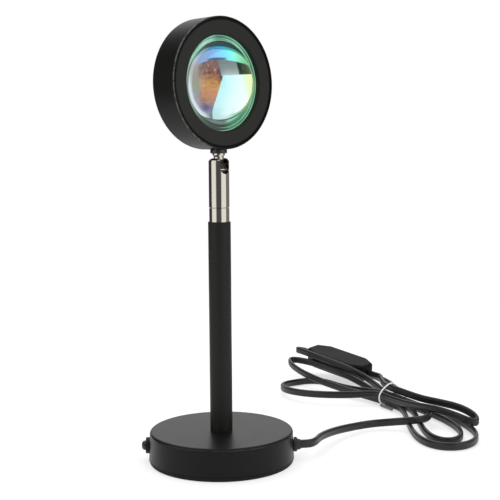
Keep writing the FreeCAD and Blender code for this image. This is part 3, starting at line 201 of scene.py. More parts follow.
class Paint(Tree):
    """A surface material under construction."""

    def __init__(self, name: str) -> None:
        """Starts a material.

        Args:
            name: the material's name.
        """
        self.material = bpy.data.materials.new(name)
        self.material.use_nodes = True
        super().__init__(self.material.node_tree)
        self.shader = self.nodes.nodes["Principled BSDF"]

    def place(self) -> Signal:
        """Where a point of the surface is, in metres."""
        return self.node("ShaderNodeTexCoord", output=3)

    def along(self, centre: Vector, direction: Vector) -> Signal:
        """The distance of the surface from a point, measured along a direction.

        Args:
            centre: the point that is 0.
            direction: the unit direction.

        Returns:
            The distance in metres.
        """
        ends = {0: self.place(), 1: centre[:]}
        offset = self.node("ShaderNodeVectorMath", {"operation": "SUBTRACT"}, ends)
        values = {0: offset, 1: direction[:]}
        return self.node("ShaderNodeVectorMath", {"operation": "DOT_PRODUCT"}, values, output=1)

    def axes(self, seat: Matrix, origin: Vector | None = None) -> tuple[Signal, Signal, Signal]:
        """Where the surface is along a seat's three axes.

        Args:
            seat: the seat.
            origin: the point that is 0, if it isn't the seat's own place.

        Returns:
            The three distances in millimetres.
        """
        start = seat.translation if origin is None else origin
        x, y, z = (self.along(start, column.to_3d()) / MILLIMETRE for column in seat.col[:3])
        return x, y, z

    def noise(self, scale: float, detail: float = 3.0, stretch: Point = (1.0, 1.0, 1.0)) -> Signal:
        """Smooth noise from 0 to 1, in cells per metre, more of them along an axis that is stretched."""
        spot = self.node("ShaderNodeMapping", None, {"Vector": self.place(), "Scale": stretch})
        return self.node("ShaderNodeTexNoise", None, {"Vector": spot, "Scale": scale, "Detail": detail})

    def bumped(self, height: Signal, depth: float) -> None:
        """Feeds a height from 0 to 1 to the shader's normal, as a relief of a depth in metres."""
        normal = self.node("ShaderNodeBump", None, {"Strength": 1.0, "Distance": depth, "Height": height})
        self.set(Normal=normal)

    def set(self, **sockets: "Signal | float | tuple") -> None:
        """Sets the shader's sockets; an underscore stands for a space."""
        for name, value in sockets.items():
            self.feed(self.shader.inputs[name.replace("_", " ")], value)


def tint(code: str) -> Colour:
    """A colour in linear light from its screen code, two figures each for red, green and blue."""
    levels = [int(code[i:i + 2], 16) / 255 for i in (0, 2, 4)]
    return tuple(v / 12.92 if v <= 0.04045 else ((v + 0.055) / 1.055) ** 2.4 for v in levels)


# ---------------------------------------------------------------- finishes

@dataclass(frozen=True)
class Finish:
    """A moulded, painted or plated surface with a fine grain."""

    name: str
    colour: Colour
    roughness: float
    metallic: float = 0.0
    grain: float = 2400.0
    relief: float = 0.000012
    unevenness: float = 0.06
    mottle: float = 0.12
    stretch: Point = (1.0, 1.0, 1.0)
    specular: float = 0.5
    coat: float = 0.0

    def material(self) -> Material:
        """Builds the material.

        Returns:
            The finished material.
        """
        paint = Paint(self.name)
        fine = paint.noise(self.grain, 2.0, self.stretch)
        broad = paint.noise(self.grain / 40, 2.0)
        paint.set(
            Base_Color=paint.shaded(self.colour, 1 - self.mottle / 2 + self.mottle * broad),
            Roughness=self.roughness - self.unevenness / 2 + self.unevenness * (0.6 * broad + 0.4 * fine),
            Metallic=self.metallic,
            Specular_IOR_Level=self.specular,
            Coat_Weight=self.coat,
        )
        paint.bumped(fine, self.relief)
        return paint.material


class Finishes(Enum):
    """The finishes of the lamp's plain parts."""

    PAINT = Finish("satin_black_paint", (0.0135, 0.0137, 0.0123), 0.42, grain=3200, relief=0.000008,
                   mottle=0.15, specular=0.15)
    FOAM = Finish("black_foam", (0.012, 0.012, 0.012), 0.92, grain=1800, relief=0.00008, specular=0.3)
    RUBBER = Finish("black_rubber", (0.013, 0.013, 0.013), 0.6, grain=2000, relief=0.00002)
    FLEX = Finish("flex_cover", (0.010, 0.010, 0.0095), 0.38, grain=1100, relief=0.00002, unevenness=0.12,
                  specular=0.4)
    CASE = Finish("black_moulding", (0.0055, 0.0056, 0.0050), 0.58, grain=2600, relief=0.00002,
                  unevenness=0.10, specular=0.12)
    NICKEL = Finish("satin_nickel", (0.60, 0.565, 0.50), 0.12, metallic=1.0, grain=900, relief=0.0000006,
                    stretch=(1.0, 1.0, 6.0), mottle=0.06, unevenness=0.04)
    BLACK_STEEL = Finish("blackened_steel", (0.045, 0.045, 0.045), 0.32, metallic=0.7, relief=0.000006)
    ZINC = Finish("zinc_plate", (0.55, 0.56, 0.57), 0.34, metallic=1.0, grain=700, mottle=0.25)
    SPRING = Finish("spring_steel", (0.42, 0.42, 0.43), 0.3, metallic=1.0, grain=700)
    BRASS = Finish("turned_brass", (0.70, 0.52, 0.25), 0.28, metallic=1.0, grain=800,
                   stretch=(1.0, 1.0, 5.0))
    IRON = Finish("cast_iron", (0.10, 0.10, 0.10), 0.65, metallic=0.6, grain=600, relief=0.00012,
                  mottle=0.3)
    ALUMINIUM = Finish("bare_aluminium", (0.72, 0.73, 0.74), 0.36, metallic=1.0, grain=1200)
    BOARD = Finish("white_board", (0.78, 0.78, 0.75), 0.35, grain=900, relief=0.000004, coat=0.3)
    PHOSPHOR = Finish("phosphor_dome", (0.85, 0.68, 0.14), 0.25, grain=900, relief=0.000004, coat=0.8)
    ACETAL = Finish("white_acetal", (0.80, 0.79, 0.75), 0.38, grain=1000)
    WHITE = Finish("white_wire_cover", (0.80, 0.80, 0.78), 0.42, grain=1500, relief=0.00001)
    TWISTED = Finish("bare_twist", (0.16, 0.16, 0.155), 0.4, metallic=0.3, grain=1500, relief=0.00001)
    FILTER = Finish("colour_filter", (0.80, 0.30, 0.08), 0.08, grain=400, relief=0.0, coat=1.0, mottle=0.3)


NODE_FINISHES: dict[Finishes, tuple[str, ...]] = {
    Finishes.PAINT: ("stem_tube", "side_washer"),
    Finishes.FOAM: ("foot_pad",),
    Finishes.RUBBER: ("lead_bush", "lens_gasket"),
    Finishes.FLEX: ("inner_lead",),
    Finishes.CASE: ("switch_upper_case", "switch_lower_case", "switch_rocker", "plug_grip", "lead_clamp",
                    "lens_holder"),
    Finishes.NICKEL: ("swivel_collar", "swivel_barrel", "plug_shell"),
    Finishes.BLACK_STEEL: ("side_screw", "collar_nut"),
    Finishes.ZINC: ("bottom_plate", "plate_screws", "threaded_nipple", "stem_washer", "stem_nut",
                    "inner_nut", "board_screws", "holder_screws", "clamp_screws", "switch_screws"),
    Finishes.SPRING: ("retaining_clip", "thrust_washer", "swivel_spring"),
    Finishes.BRASS: ("lower_insert", "upper_insert", "plug_contacts"),
    Finishes.IRON: ("base_weight",),
    Finishes.ALUMINIUM: ("heat_sink",),
    Finishes.BOARD: ("led_board",),
    Finishes.PHOSPHOR: ("led_emitter",),
    Finishes.ACETAL: ("friction_cup",),
    Finishes.WHITE: ("plug_tongue",),
    Finishes.FILTER: ("filter_disc",),
}


@dataclass(frozen=True)
class HeadPaint:
    """Satin paint on the head: a painted highlight on the left of its lip, and painted shade in the seam
    where the bezel sits in it.

    Radii and depths are in millimetres, from the head's axis and along it to the front.
    """

    name: str
    colour: Colour
    roughness: float
    specular: float
    # the lip's painted highlight colour, and the seam's painted shade colour
    edge_highlight_colour: Colour = (0.13, 0.13, 0.12)
    seam_shade_colour: Colour = (0.001, 0.001, 0.001)
    seam_radius: float = 37.75
    seam_half: float = 0.65
    lip_radius: float = 38.75
    lip_width: float = 0.32
    face_depth: float = 5.3
    lip_depth: float = 5.6

    def material(self, seat: Matrix) -> Material:
        """Builds the material.

        Args:
            seat: the head's place, Z along its axis towards the front.

        Returns:
            The material.
        """
        paint = Paint(self.name)
        x, y, depth = paint.axes(seat)
        radius = (x * x + y * y).root()
        fine = paint.noise(3200, 2.0)
        broad = paint.noise(60, 2.0)
        highlight_patches = paint.noise(420, 3.0).rise(0.35, 0.62)
        front = depth.rise(self.face_depth, self.face_depth + 0.4)
        # painted shade: a near-black ring on the face where the bezel sits in the drum, standing in for the
        # shade in the gap
        seam = radius.band(self.seam_radius, self.seam_half, 0.15) * front
        # painted highlight: the lip is lighter only at its left, where the light falls, in noisy patches
        lip = radius.rise(self.lip_radius, self.lip_radius + self.lip_width)
        lip = lip * depth.rise(self.lip_depth, self.lip_depth + 0.35) * (0 - x).rise(2, 22)
        colour = paint.shaded(self.colour, 0.9 + 0.2 * broad)
        colour = paint.layer(colour, self.seam_shade_colour, seam)
        colour = paint.layer(colour, self.edge_highlight_colour, lip * (0.25 + 0.6 * highlight_patches))
        paint.set(
            Base_Color=colour,
            Roughness=self.roughness - 0.03 + 0.04 * broad + 0.03 * fine + 0.3 * seam - 0.12 * lip,
            Specular_IOR_Level=self.specular,
        )
        paint.bumped(fine, 0.000008)
        return paint.material


@dataclass(frozen=True)
class BasePaint:
    """Satin paint on the base: a painted highlight along its top edge, and a groove above the bottom plate
    with painted shade in it.

    Heights and radii are in millimetres.
    """

    colour: Colour = (0.0045, 0.0046, 0.0041)
    # the top edge's painted highlight colour, and the groove's painted shade colour
    edge_highlight_colour: Colour = (0.045, 0.045, 0.042)
    seam_shade_colour: Colour = (0.001, 0.001, 0.001)
    specular: float = 0.16
    line_half: float = 0.14
    edge_height: float = 18.25
    edge_radius: float = 44.0
    seam_height: float = 2.6
    seam_depth: float = 0.0002

    def material(self) -> Material:
        """Builds the material.

        Returns:
            The material.
        """
        paint = Paint("satin_black_paint_base")
        x, y, height = paint.axes(Matrix.Identity(4))
        radius = (x * x + y * y).root()
        fine = paint.noise(3200, 2.0)
        broad = paint.noise(80, 2.0)
        highlight_patches = paint.noise(300, 3.0).rise(0.30, 0.60)
        # painted highlight: a thin lighter line just under the top edge, in noisy patches
        edge = height.band(self.edge_height, self.line_half, 0.14)
        edge = edge * radius.rise(self.edge_radius, self.edge_radius + 0.4)
        # painted shade: the groove above the bottom plate is painted near-black, over the relief that the
        # bump gives it
        seam = height.band(self.seam_height, self.line_half, 0.18)
        colour = paint.shaded(self.colour, 0.92 + 0.16 * broad)
        colour = paint.layer(colour, self.edge_highlight_colour, edge * (0.4 + 0.6 * highlight_patches))
        colour = paint.layer(colour, self.seam_shade_colour, seam)
        paint.set(
            Base_Color=colour,
            Roughness=0.31 + 0.05 * broad + 0.03 * fine + 0.2 * seam,
            Specular_IOR_Level=self.specular,
        )
        paint.bumped(1 - seam + 0.03 * fine, self.seam_depth)
        return paint.material


@dataclass(frozen=True)
class BallPaint:
    """The swivel's ball stud: bright neck, and a ball painted dark as painted shade, with one thin ring of
    painted highlight.
    """

    bright: Colour = (0.60, 0.565, 0.50)
    # painted shade colour for the ball below its neck, which sits inside the barrel
    dark: Colour = (0.045, 0.036, 0.030)
    change: float = 0.1862
    spread: float = 0.0010
    # height and half width of the ring of painted highlight on the ball
    highlight_height: float = 0.1801
    highlight_half: float = 0.00020

    def material(self) -> Material:
        """Builds the material.

        Returns:
            The material.
        """
        paint = Paint("ball_stud_steel")
        height = paint.along(UP * self.change, UP) / self.spread
        ring = paint.along(UP * self.highlight_height, UP)
        # bright neck above; painted shade below, broken by one thin ring of painted highlight
        share = height.rise(-0.5, 0.5).most(ring.band(0.0, self.highlight_half, 0.00012))
        ball_streaks = paint.noise(800, 3.0, (1.0, 1.0, 0.3))
        colour = paint.layer(paint.shaded(self.dark, 0.6 + 0.8 * ball_streaks), self.bright, share)
        paint.set(Base_Color=colour, Metallic=1.0, Roughness=0.26 - 0.12 * share + 0.06 * ball_streaks)
        return paint.material


# ---------------------------------------------------------------- studio

@dataclass(frozen=True)
class SoftBox:
    """A bright upright band of the surroundings; its turn from the front is in degrees."""

    turn: float
    half: float
    soft: float
    strength: float

    def lit(self, turn: Signal) -> Signal:
        """The band's light in a direction."""
        return turn.band(self.turn, self.half, self.soft) * self.strength


@dataclass
class Studio:
    """The camera at the photograph's place, the pale floor and the soft light."""

    camera_place: Point = (0.018516, -0.6308, 0.1941)
    pitch_down: float = 5.719
    roll: float = -0.42
    lens: float = 74.8
    floor_radius: float = 0.8
    floor_level: float = -0.0002
    floor_glow: float = 0.60
    left_box: SoftBox = SoftBox(-61, 24, 9, 1.15)
    right_box: SoftBox = SoftBox(56, 25, 8, 1.15)
    side_box: SoftBox = SoftBox(112, 30, 12, 0.2)
    gap_box: SoftBox = SoftBox(-3, 24, 8, 0.045)
    dimmest: float = 0.05
    behind_strength: float = 1.25
    above_strength: float = 0.9
    aim: Point = (0.05, 0.05, 0.05)

    def camera(self) -> None:
        """Makes the scene's camera."""
        data = bpy.data.cameras.new("camera")
        data.lens = self.lens
        data.sensor_width = 36.0
        data.clip_start = 0.01
        data.clip_end = 50.0
        pitch = math.radians(self.pitch_down)
        roll = math.radians(self.roll)
        forward = Vector((0, math.cos(pitch), -math.sin(pitch)))
        level_up = Vector((1, 0, 0)).cross(forward)
        right = Vector((math.cos(roll), 0, 0)) + math.sin(roll) * level_up
        up = right.cross(forward)
        turn = Matrix((right, up, -forward)).transposed().to_4x4()
        camera = linked("camera", data)
        camera.matrix_world = Matrix.Translation(self.camera_place) @ turn
        bpy.context.scene.camera = camera

    def floor(self) -> None:
        """Makes the pale floor."""
        mesh = bmesh.new()
        bmesh.ops.create_circle(mesh, cap_ends=True, segments=96, radius=self.floor_radius)
        bmesh.ops.translate(mesh, vec=(0, 0, self.floor_level), verts=mesh.verts)
        pale = Finish("pale_floor", (0.36, 0.36, 0.36), 0.75, grain=300, relief=0.0, mottle=0.01,
                      specular=0.2)
        material = pale.material()
        shader = material.node_tree.nodes["Principled BSDF"]
        shader.inputs["Emission Color"].default_value = (1.0, 1.0, 1.0, 1.0)
        shader.inputs["Emission Strength"].default_value = self.floor_glow
        finished_object("floor", mesh, material)

    def world(self) -> None:
        """Makes the surroundings: white behind, soft boxes at both sides, dark at the front."""
        world = bpy.data.worlds.new("studio")
        world.use_nodes = True
        bpy.context.scene.world = world
        tree = Tree(world.node_tree)
        direction = tree.node("ShaderNodeTexCoord")
        parts = [tree.node("ShaderNodeSeparateXYZ", None, {0: direction}, output=i) for i in range(3)]
        across, away, up = parts
        turn = across.math("ARCTAN2", across, 0 - away) * math.degrees(1)
        boxes = self.left_box.lit(turn).most(self.right_box.lit(turn))
        behind = abs(turn).rise(140, 160) * up.rise(0.06, 0.22) * self.behind_strength
        level = self.dimmest + self.gap_box.lit(turn) + boxes + self.side_box.lit(turn) + behind
        light = level.most(up.rise(0.55, 0.8) * self.above_strength)
        seen = tree.node("ShaderNodeLightPath")
        strength = seen + (1 - seen) * light
        tree.feed(world.node_tree.nodes["Background"].inputs["Strength"], strength)
        tree.feed(world.node_tree.nodes["Background"].inputs["Color"], (1.0, 1.0, 1.0, 1.0))

    def light(self, name: str, place: Point, size: float, power: float) -> None:
        """Hangs a square soft box that points at the lamp.

        Args:
            name: the light's name.
            place: where it hangs.
            size: its side.
            power: its power in watts.
        """
        data = bpy.data.lights.new(name, "AREA")
        data.size = size
        data.energy = power
        lamp = linked(name, data)
        lamp.visible_glossy = False
        aim = Vector(self.aim) - Vector(place)
        lamp.matrix_world = Matrix.Translation(place) @ aim.to_track_quat("-Z", "Y").to_matrix().to_4x4()

    def build(self) -> None:
        """Makes the whole studio."""
        bpy.context.scene.view_settings.view_transform = "Standard"
        self.floor()
        self.world()
        self.light("overhead", (-0.25, 0.15, 1.3), 1.1, 9.0)
        self.light("front_right", (0.40, -0.34, 0.50), 0.22, 0.95)


# ---------------------------------------------------------------- helpers for pieces

def linked(name: str, data: bpy.types.ID) -> Object:
    """Puts a new object with some data into the scene."""
    item = bpy.data.objects.new(name, data)
    bpy.context.scene.collection.objects.link(item)
    return item


def finished_object(name: str, mesh: BMesh, material: Material) -> Object:
    """Turns a bmesh into a smooth-shaded object at the origin.

    Args:
        name: the object's name.
        mesh: the shape, which is freed.
        material: its material.

    Returns:
        The new object.
    """
    sharp = math.radians(34)
    for face in mesh.faces:
        face.smooth = True
    for edge in mesh.edges:
        edge.smooth = len(edge.link_faces) != 2 or edge.calc_face_angle(0.0) < sharp
    data = bpy.data.meshes.new(name)
    mesh.to_mesh(data)
    mesh.free()
    data.materials.append(material)
    return linked(name, data)


def spun(profile: list[tuple[float, float]], steps: int) -> BMesh:
    """Spins an open profile round Z.

    Args:
        profile: (radius, height) pairs.
        steps: how many faces go round.

    Returns:
        The closed surface of revolution, with its normals pointing out.
    """
    mesh = bmesh.new()
    corners = [mesh.verts.new((radius, 0, height)) for radius, height in profile]
    edges = [mesh.edges.new(pair) for pair in zip(corners, corners[1:])]
    bmesh.ops.spin(mesh, geom=corners + edges, cent=(0, 0, 0), axis=(0, 0, 1), angle=2 * math.pi,
                   steps=steps, use_merge=True, use_duplicate=False)
    bmesh.ops.remove_doubles(mesh, verts=mesh.verts, dist=1e-6)
    bmesh.ops.recalc_face_normals(mesh, faces=mesh.faces)
    return mesh


def smooth_curve(name: str, points: list[Vector], steps: int, closed: bool = False) -> Curve:
    """A smooth curve with points as its control points.

    Args:
        name: the curve's name.
        points: the control points.
        steps: how finely it is divided between two of them.
        closed: whether it runs back to its start.

    Returns:
        The curve.
    """
    curve = bpy.data.curves.new(name, "CURVE")
    curve.dimensions = "3D"
    spline = curve.splines.new("NURBS")
    spline.points.add(len(points) - 1)
    for target, point in zip(spline.points, points):
        target.co = (*point, 1.0)
    spline.order_u = 3
    spline.use_cyclic_u = closed
    spline.use_endpoint_u = not closed
    curve.resolution_u = steps
    spline.resolution_u = steps
    return curve


# ---------------------------------------------------------------- lens

@dataclass
class Lens:
    """The coated glass lens: a half ball on a flat flange with one raised ring."""

    azimuth: float = 43.0
    dome_radius: float = 0.0227
    dome_centre: float = -0.0009
    pattern_radius: float = 0.0212
    pattern_centre: float = 0.0008
    flange_radius: float = 0.0306
    flange_back: float = 0.0005
    flange_front: float = 0.0029
    ring_radius: float = 0.0256
    ring_width: float = 0.0009
    ring_height: float = 0.0004
    ring_edge: float = 0.00025
    dome_steps: int = 44
    turn_steps: int = 160
    seat: Matrix = field(init=False)
    centre: Vector = field(init=False)

    def __post_init__(self) -> None:
        """Works out the head's place from the CAD node."""
        low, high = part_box("head_shell")
        drum_centre = (low.z + high.z) / 2
        turn = math.radians(self.azimuth)
        across = Vector((math.cos(turn), math.sin(turn), 0))
        facing = Vector((math.sin(turn), -math.cos(turn), 0))
        axes = Matrix((across, UP, facing)).transposed().to_4x4()
        self.seat = Matrix.Translation((0, 0, drum_centre)) @ axes
        self.centre = self.seat @ Vector((0, 0, self.pattern_centre))

    def profile(self) -> list[tuple[float, float]]:
        """The lens's outline, from the top of the dome to the middle of its back."""
        rise = self.flange_front - self.dome_centre
        last = math.acos(rise / self.dome_radius)
        arc = [last * i / self.dome_steps for i in range(self.dome_steps + 1)]
        size = self.dome_radius
        dome = [(size * math.sin(a), self.dome_centre + size * math.cos(a)) for a in arc]
        inner = self.ring_radius - self.ring_width
        edge = self.ring_edge
        crest = self.flange_front + self.ring_height
        flange = [
            (inner, self.flange_front),
            (inner + edge, crest),
            (self.ring_radius - edge, crest),
            (self.ring_radius, self.flange_front),
            (self.flange_radius, self.flange_front),
            (self.flange_radius, self.flange_back),
            (0, self.flange_back),
        ]
        return dome + flange

    def build(self, sight: Point) -> Object:
        """Makes the lens.

        Args:
            sight: the place from which the photograph was taken, which sets the lie of its colours.

        Returns:
            The lens.
        """
        mesh = spun(self.profile(), self.turn_steps)
        bmesh.ops.transform(mesh, matrix=self.seat, verts=mesh.verts)
        piece = finished_object("glass_lens", mesh, LensGlass(self, sight).material())
        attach(piece, "head")
        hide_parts("lens")
        log.info("glass_lens: %d faces", len(piece.data.polygons))
        return piece


# The colours seen in the lens, as stops of a place from 0 to 1 and a screen code.
LENS_RAMPS: dict[str, tuple[tuple[float, str], ...]] = {
    "pale_left": (
        (0.02, "597c67"), (0.10, "a7a5ba"), (0.22, "a9a6bd"), (0.36, "a0aaaf"),
        (0.46, "a3ab96"), (0.58, "aaa89c"), (0.76, "b4aaa8"), (0.86, "c4ccd4"),
    ),
    "warm_patch": (
        (0.10, "807fa6"), (0.18, "76759b"), (0.25, "b08672"), (0.36, "c48a62"),
        (0.47, "c99a60"), (0.56, "b8875d"), (0.64, "8d6456"), (0.76, "7d625c"),
    ),
    "grey_pane": ((0.20, "b2bcc0"), (0.30, "93a2a3"), (0.42, "768586"), (0.56, "6a7878")),
    "arc": (
        (0.10, "a9bfc6"), (0.24, "9db4dc"), (0.38, "8bb4ee"), (0.50, "78caf6"),
        (0.60, "70def0"), (0.70, "78eedd"), (0.79, "86e0b0"), (0.90, "62b07c"),
    ),
    "cap": (
        (0.18, "6fb49b"), (0.32, "2f8c92"), (0.44, "2fa6c8"), (0.56, "3ab8d4"),
        (0.66, "35a896"), (0.76, "4cb887"), (0.88, "6fae6c"),
    ),
    "flange": (
        (0.03, "22392f"), (0.12, "3c564b"), (0.20, "71947e"), (0.28, "9fb59d"),
        (0.40, "8b9c96"), (0.52, "93a6a0"), (0.64, "8aa592"), (0.76, "9ccbaf"),
    ),
    "crescent": (
        (0.10, "84c9ae"), (0.24, "a9e3c9"), (0.36, "8acdb2"), (0.44, "4f8f79"),
        (0.52, "37806c"), (0.64, "5fae94"), (0.76, "8fc9af"), (0.90, "5fa887"),
    ),
}


@dataclass
class LensGlass:
    """The colours that lie in a coated lens over its light, painted so that they stay with the glass: among
    them a painted reflection, painted highlights and shade, and a painted glow.

    A place on the dome is given as seen from the photograph's place, in pattern radii from the dome's
    middle: a to the right and b up. A place on the flange is in millimetres in the head's frame.
    """

    lens: Lens
    sight: Point
    # the strength of the lens's painted glow
    glow: float = 0.62
    matt: float = 0.42
    limb_shift: float = 0.10
    limb_width: float = 0.74
    limb_height: float = 1.02
    flange_top: float = 2.1
    dome_foot: float = 22.4
    paint: Paint = field(init=False)
    a: Signal = field(init=False)
    b: Signal = field(init=False)
    reach: Signal = field(init=False)
    limb: Signal = field(init=False)
    wobble: Signal = field(init=False)

    def __post_init__(self) -> None:
        """Starts the material and finds where a point of the glass lies."""
        self.paint = Paint("coated_lens_glass")
        look = (self.lens.centre - Vector(self.sight)).normalized()
        right = look.cross(UP).normalized()
        scale = self.lens.pattern_radius
        self.a = self.paint.along(self.lens.centre, right) / scale
        self.b = self.paint.along(self.lens.centre, right.cross(look)) / scale
        self.reach = (self.a * self.a + self.b * self.b).root()
        side = (self.a + self.limb_shift) / self.limb_width
        lift = self.b / self.limb_height
        self.limb = (side * side + lift * lift).root()
        self.wobble = self.paint.noise(320, 3.0) - 0.5

    def ramp(self, name: str, value: Signal) -> Signal:
        """A named ramp's colour at a value."""
        return self.paint.ramp(value, [(place, tint(code)) for place, code in LENS_RAMPS[name]])

    def lay(self, under: Signal | str, over: Signal | str, share: Signal | float) -> Signal:
        """Lays one colour, given as a signal or a screen code, over another."""
        colours = [tint(c) if isinstance(c, str) else c for c in (under, over)]
        return self.paint.layer(*colours, share)

    def material(self) -> Material:
        """Builds the lens's material.

        Returns:
            The material.
        """
        colour = self.pale_left()
        for part in (self.warm_patch, self.dull_panes, self.painted_softbox_reflection, self.arc, self.cap, self.rim):
            colour = part(colour)
        colour = self.flange(colour)
        self.paint.set(
            Base_Color=self.paint.shaded(colour, self.matt),
            Roughness=0.05,
            IOR=1.5,
            Specular_IOR_Level=0.35,
            Coat_Weight=0.35,
            Coat_Roughness=0.03,
            # painted light: the glass glows with its own painted colours, so that they stay bright
            Emission_Color=colour,
            Emission_Strength=self.glow,
        )
        return self.paint.material

    def pale_left(self) -> Signal:
        """The pale glass at the left, over which the rest is laid."""
        pale = self.ramp("pale_left", (self.b + 0.10 * self.wobble) * 0.5 + 0.5)
        return self.lay(pale, "3a4a48", (self.a + 0.1 * self.wobble).rise(-0.30, -0.05))

    def warm_patch(self, under: Signal) -> Signal:
        """The warm mottled patch, darker and browner towards its top."""
        paint, a, b, wobble = self.paint, self.a, self.b, self.wobble
        warm = self.ramp("warm_patch", (b + 0.16 * wobble) * 0.5 + 0.5)
        folds = paint.noise(330, 3.0, (1.0, 1.0, 1.5))
        fine = paint.noise(1100, 4.0) - 0.5
        warm = paint.shaded(warm, 0.80 + 0.40 * folds + 0.25 * fine)
        veins = 1 - abs(paint.noise(240, 4.0, (1.0, 1.0, 1.7)) - 0.5).rise(0.004, 0.034)
        glints = paint.noise(620, 3.0).rise(0.58, 0.70) * b.rise(-0.10, 0.30)
        shadows = paint.noise(560, 3.0).rise(0.50, 0.64) * b.rise(0.0, 0.35)
        dusk = (a + 0.12 * wobble).rise(-0.08, 0.06) * b.rise(-0.1, 0.2)
        for coat, share in (
            ("6b3f26", 0.4 * veins), ("e6c6b4", 0.5 * glints), ("4f3833", 0.6 * shadows), ("5a4a52", dusk),
        ):
            warm = self.lay(warm, coat, share)
        broad = paint.noise(140, 2.0) - 0.5
        patch = (a + 0.14 * wobble + 0.05 * broad).rise(-0.62, -0.40)
        patch = patch * (1 - (a + 0.10 * wobble - 0.10 * b).rise(0.04, 0.13))
        patch = patch * (b - 0.25 * a + 0.1 * wobble).rise(-0.78, -0.58)
        return self.lay(under, warm, patch)

    def dull_panes(self, under: Signal) -> Signal:
        """The grey pane and the olive one beside it."""
        pane = (self.a + 0.25 * self.b).rise(0.10, 0.16) * self.b.rise(0.17, 0.22)
        colour = self.lay(under, self.ramp("grey_pane", self.b + 0.05 * self.wobble), pane)
        olive = self.lay("14301f", "525f46", (self.a + 0.5 * self.wobble).rise(0.60, 0.86))
        return self.lay(colour, olive, pane * (self.a + 0.2 * self.b).rise(0.595, 0.625))

    def painted_softbox_reflection(self, under: Signal) -> Signal:
        """The bright pane, a painted reflection of a soft box, cyan at its left and yellow at its right."""
        a, b = self.a, self.b
        pane = (a - 0.32 * b - 0.05 + 0.05 * self.wobble).rise(-0.015, 0.02) * a.rise(-0.20, -0.175)
        pane = pane * (1 - (b - 0.04 * a).rise(0.205, 0.222))
        pane = pane * (1 - (a - 0.10 * abs(b + 0.2)).rise(0.915, 0.935))
        # painted reflection: the soft box's light, paler and then yellower towards the right
        light = self.lay("bdf2f5", "e6fcfb", (a - 0.45 * b).rise(0.05, 0.85))
        light = self.lay(light, "e8fbc0", (a + 0.22 * b).rise(0.60, 0.86))
        corner = (self.reach - 0.25 * (a - 0.6)).rise(0.93, 1.0) * a.rise(0.2, 0.5)
        return self.lay(under, self.lay(light, "9adfb4", corner), pane)

    def arc(self, under: Signal) -> Signal:
        """The arc of blue and green above the panes, a tinted painted reflection of the light above."""
        a, b, wobble = self.a, self.b, self.wobble
        broad = self.paint.noise(140, 2.0) - 0.5
        height = b + (0.42 - 0.2 * a.rise(0.0, 0.5)) * a * a + 0.03 * broad + 0.02 * wobble
        colours = self.ramp("arc", a * 0.5 + 0.5 + 0.04 * wobble)
        inner = height.rise(0.685, 0.73).most(1 - a.band(-0.05, 0.18, 0.14))
        colours = self.lay("36597c", colours, inner)
        # painted reflection of the light above, laid over the dome
        return self.lay(under, colours, height.rise(0.635, 0.66) * (a + 1.0).rise(0.25, 0.5))

    def cap(self, under: Signal) -> Signal:
        """The narrow cap over the arc, with a thin dark line between them."""
        a, b = self.a, self.b
        reach = self.reach + 0.02 * self.wobble
        colours = self.ramp("cap", a * 0.5 + 0.5 + 0.04 * self.wobble)
        colours = self.lay(colours, "1c5461", reach.rise(1.0, 1.05) * b.rise(0.6, 0.9))
        colour = self.lay(under, colours, reach.rise(0.962, 0.985) * b.rise(0.30, 0.55))
        line = reach.band(0.955, 0.006, 0.014) * b.rise(0.45, 0.7) * (1 - a.rise(0.1, 0.4))
        return self.lay(colour, "2b5f98", line * 0.75)

    def rim(self, under: Signal) -> Signal:
        """The dome's rim: pale at the left, green at the right and dark below."""
        a, b, reach = self.a, self.b, self.reach
        pale = self.lay("e2eef4", "b4c4c6", b.rise(-0.15, 0.45))
        left = (0 - a).rise(0.15, 0.45) * (0.85 - 0.45 * b.rise(-0.1, 0.5))
        colour = self.lay(under, pale, (self.limb + 0.06 * self.wobble).rise(0.84, 0.95) * left)
        green = self.lay("9ab985", "4c7a58", b.rise(-0.1, 0.35))
        right = reach.rise(0.94, 0.96) * a.rise(0.5, 0.7) * (1 - b.rise(0.35, 0.55))
        colour = self.lay(colour, green, right)
        return self.lay(colour, "3c4c4a", reach.rise(0.99, 1.015) * (0 - b).rise(0.75, 0.9))

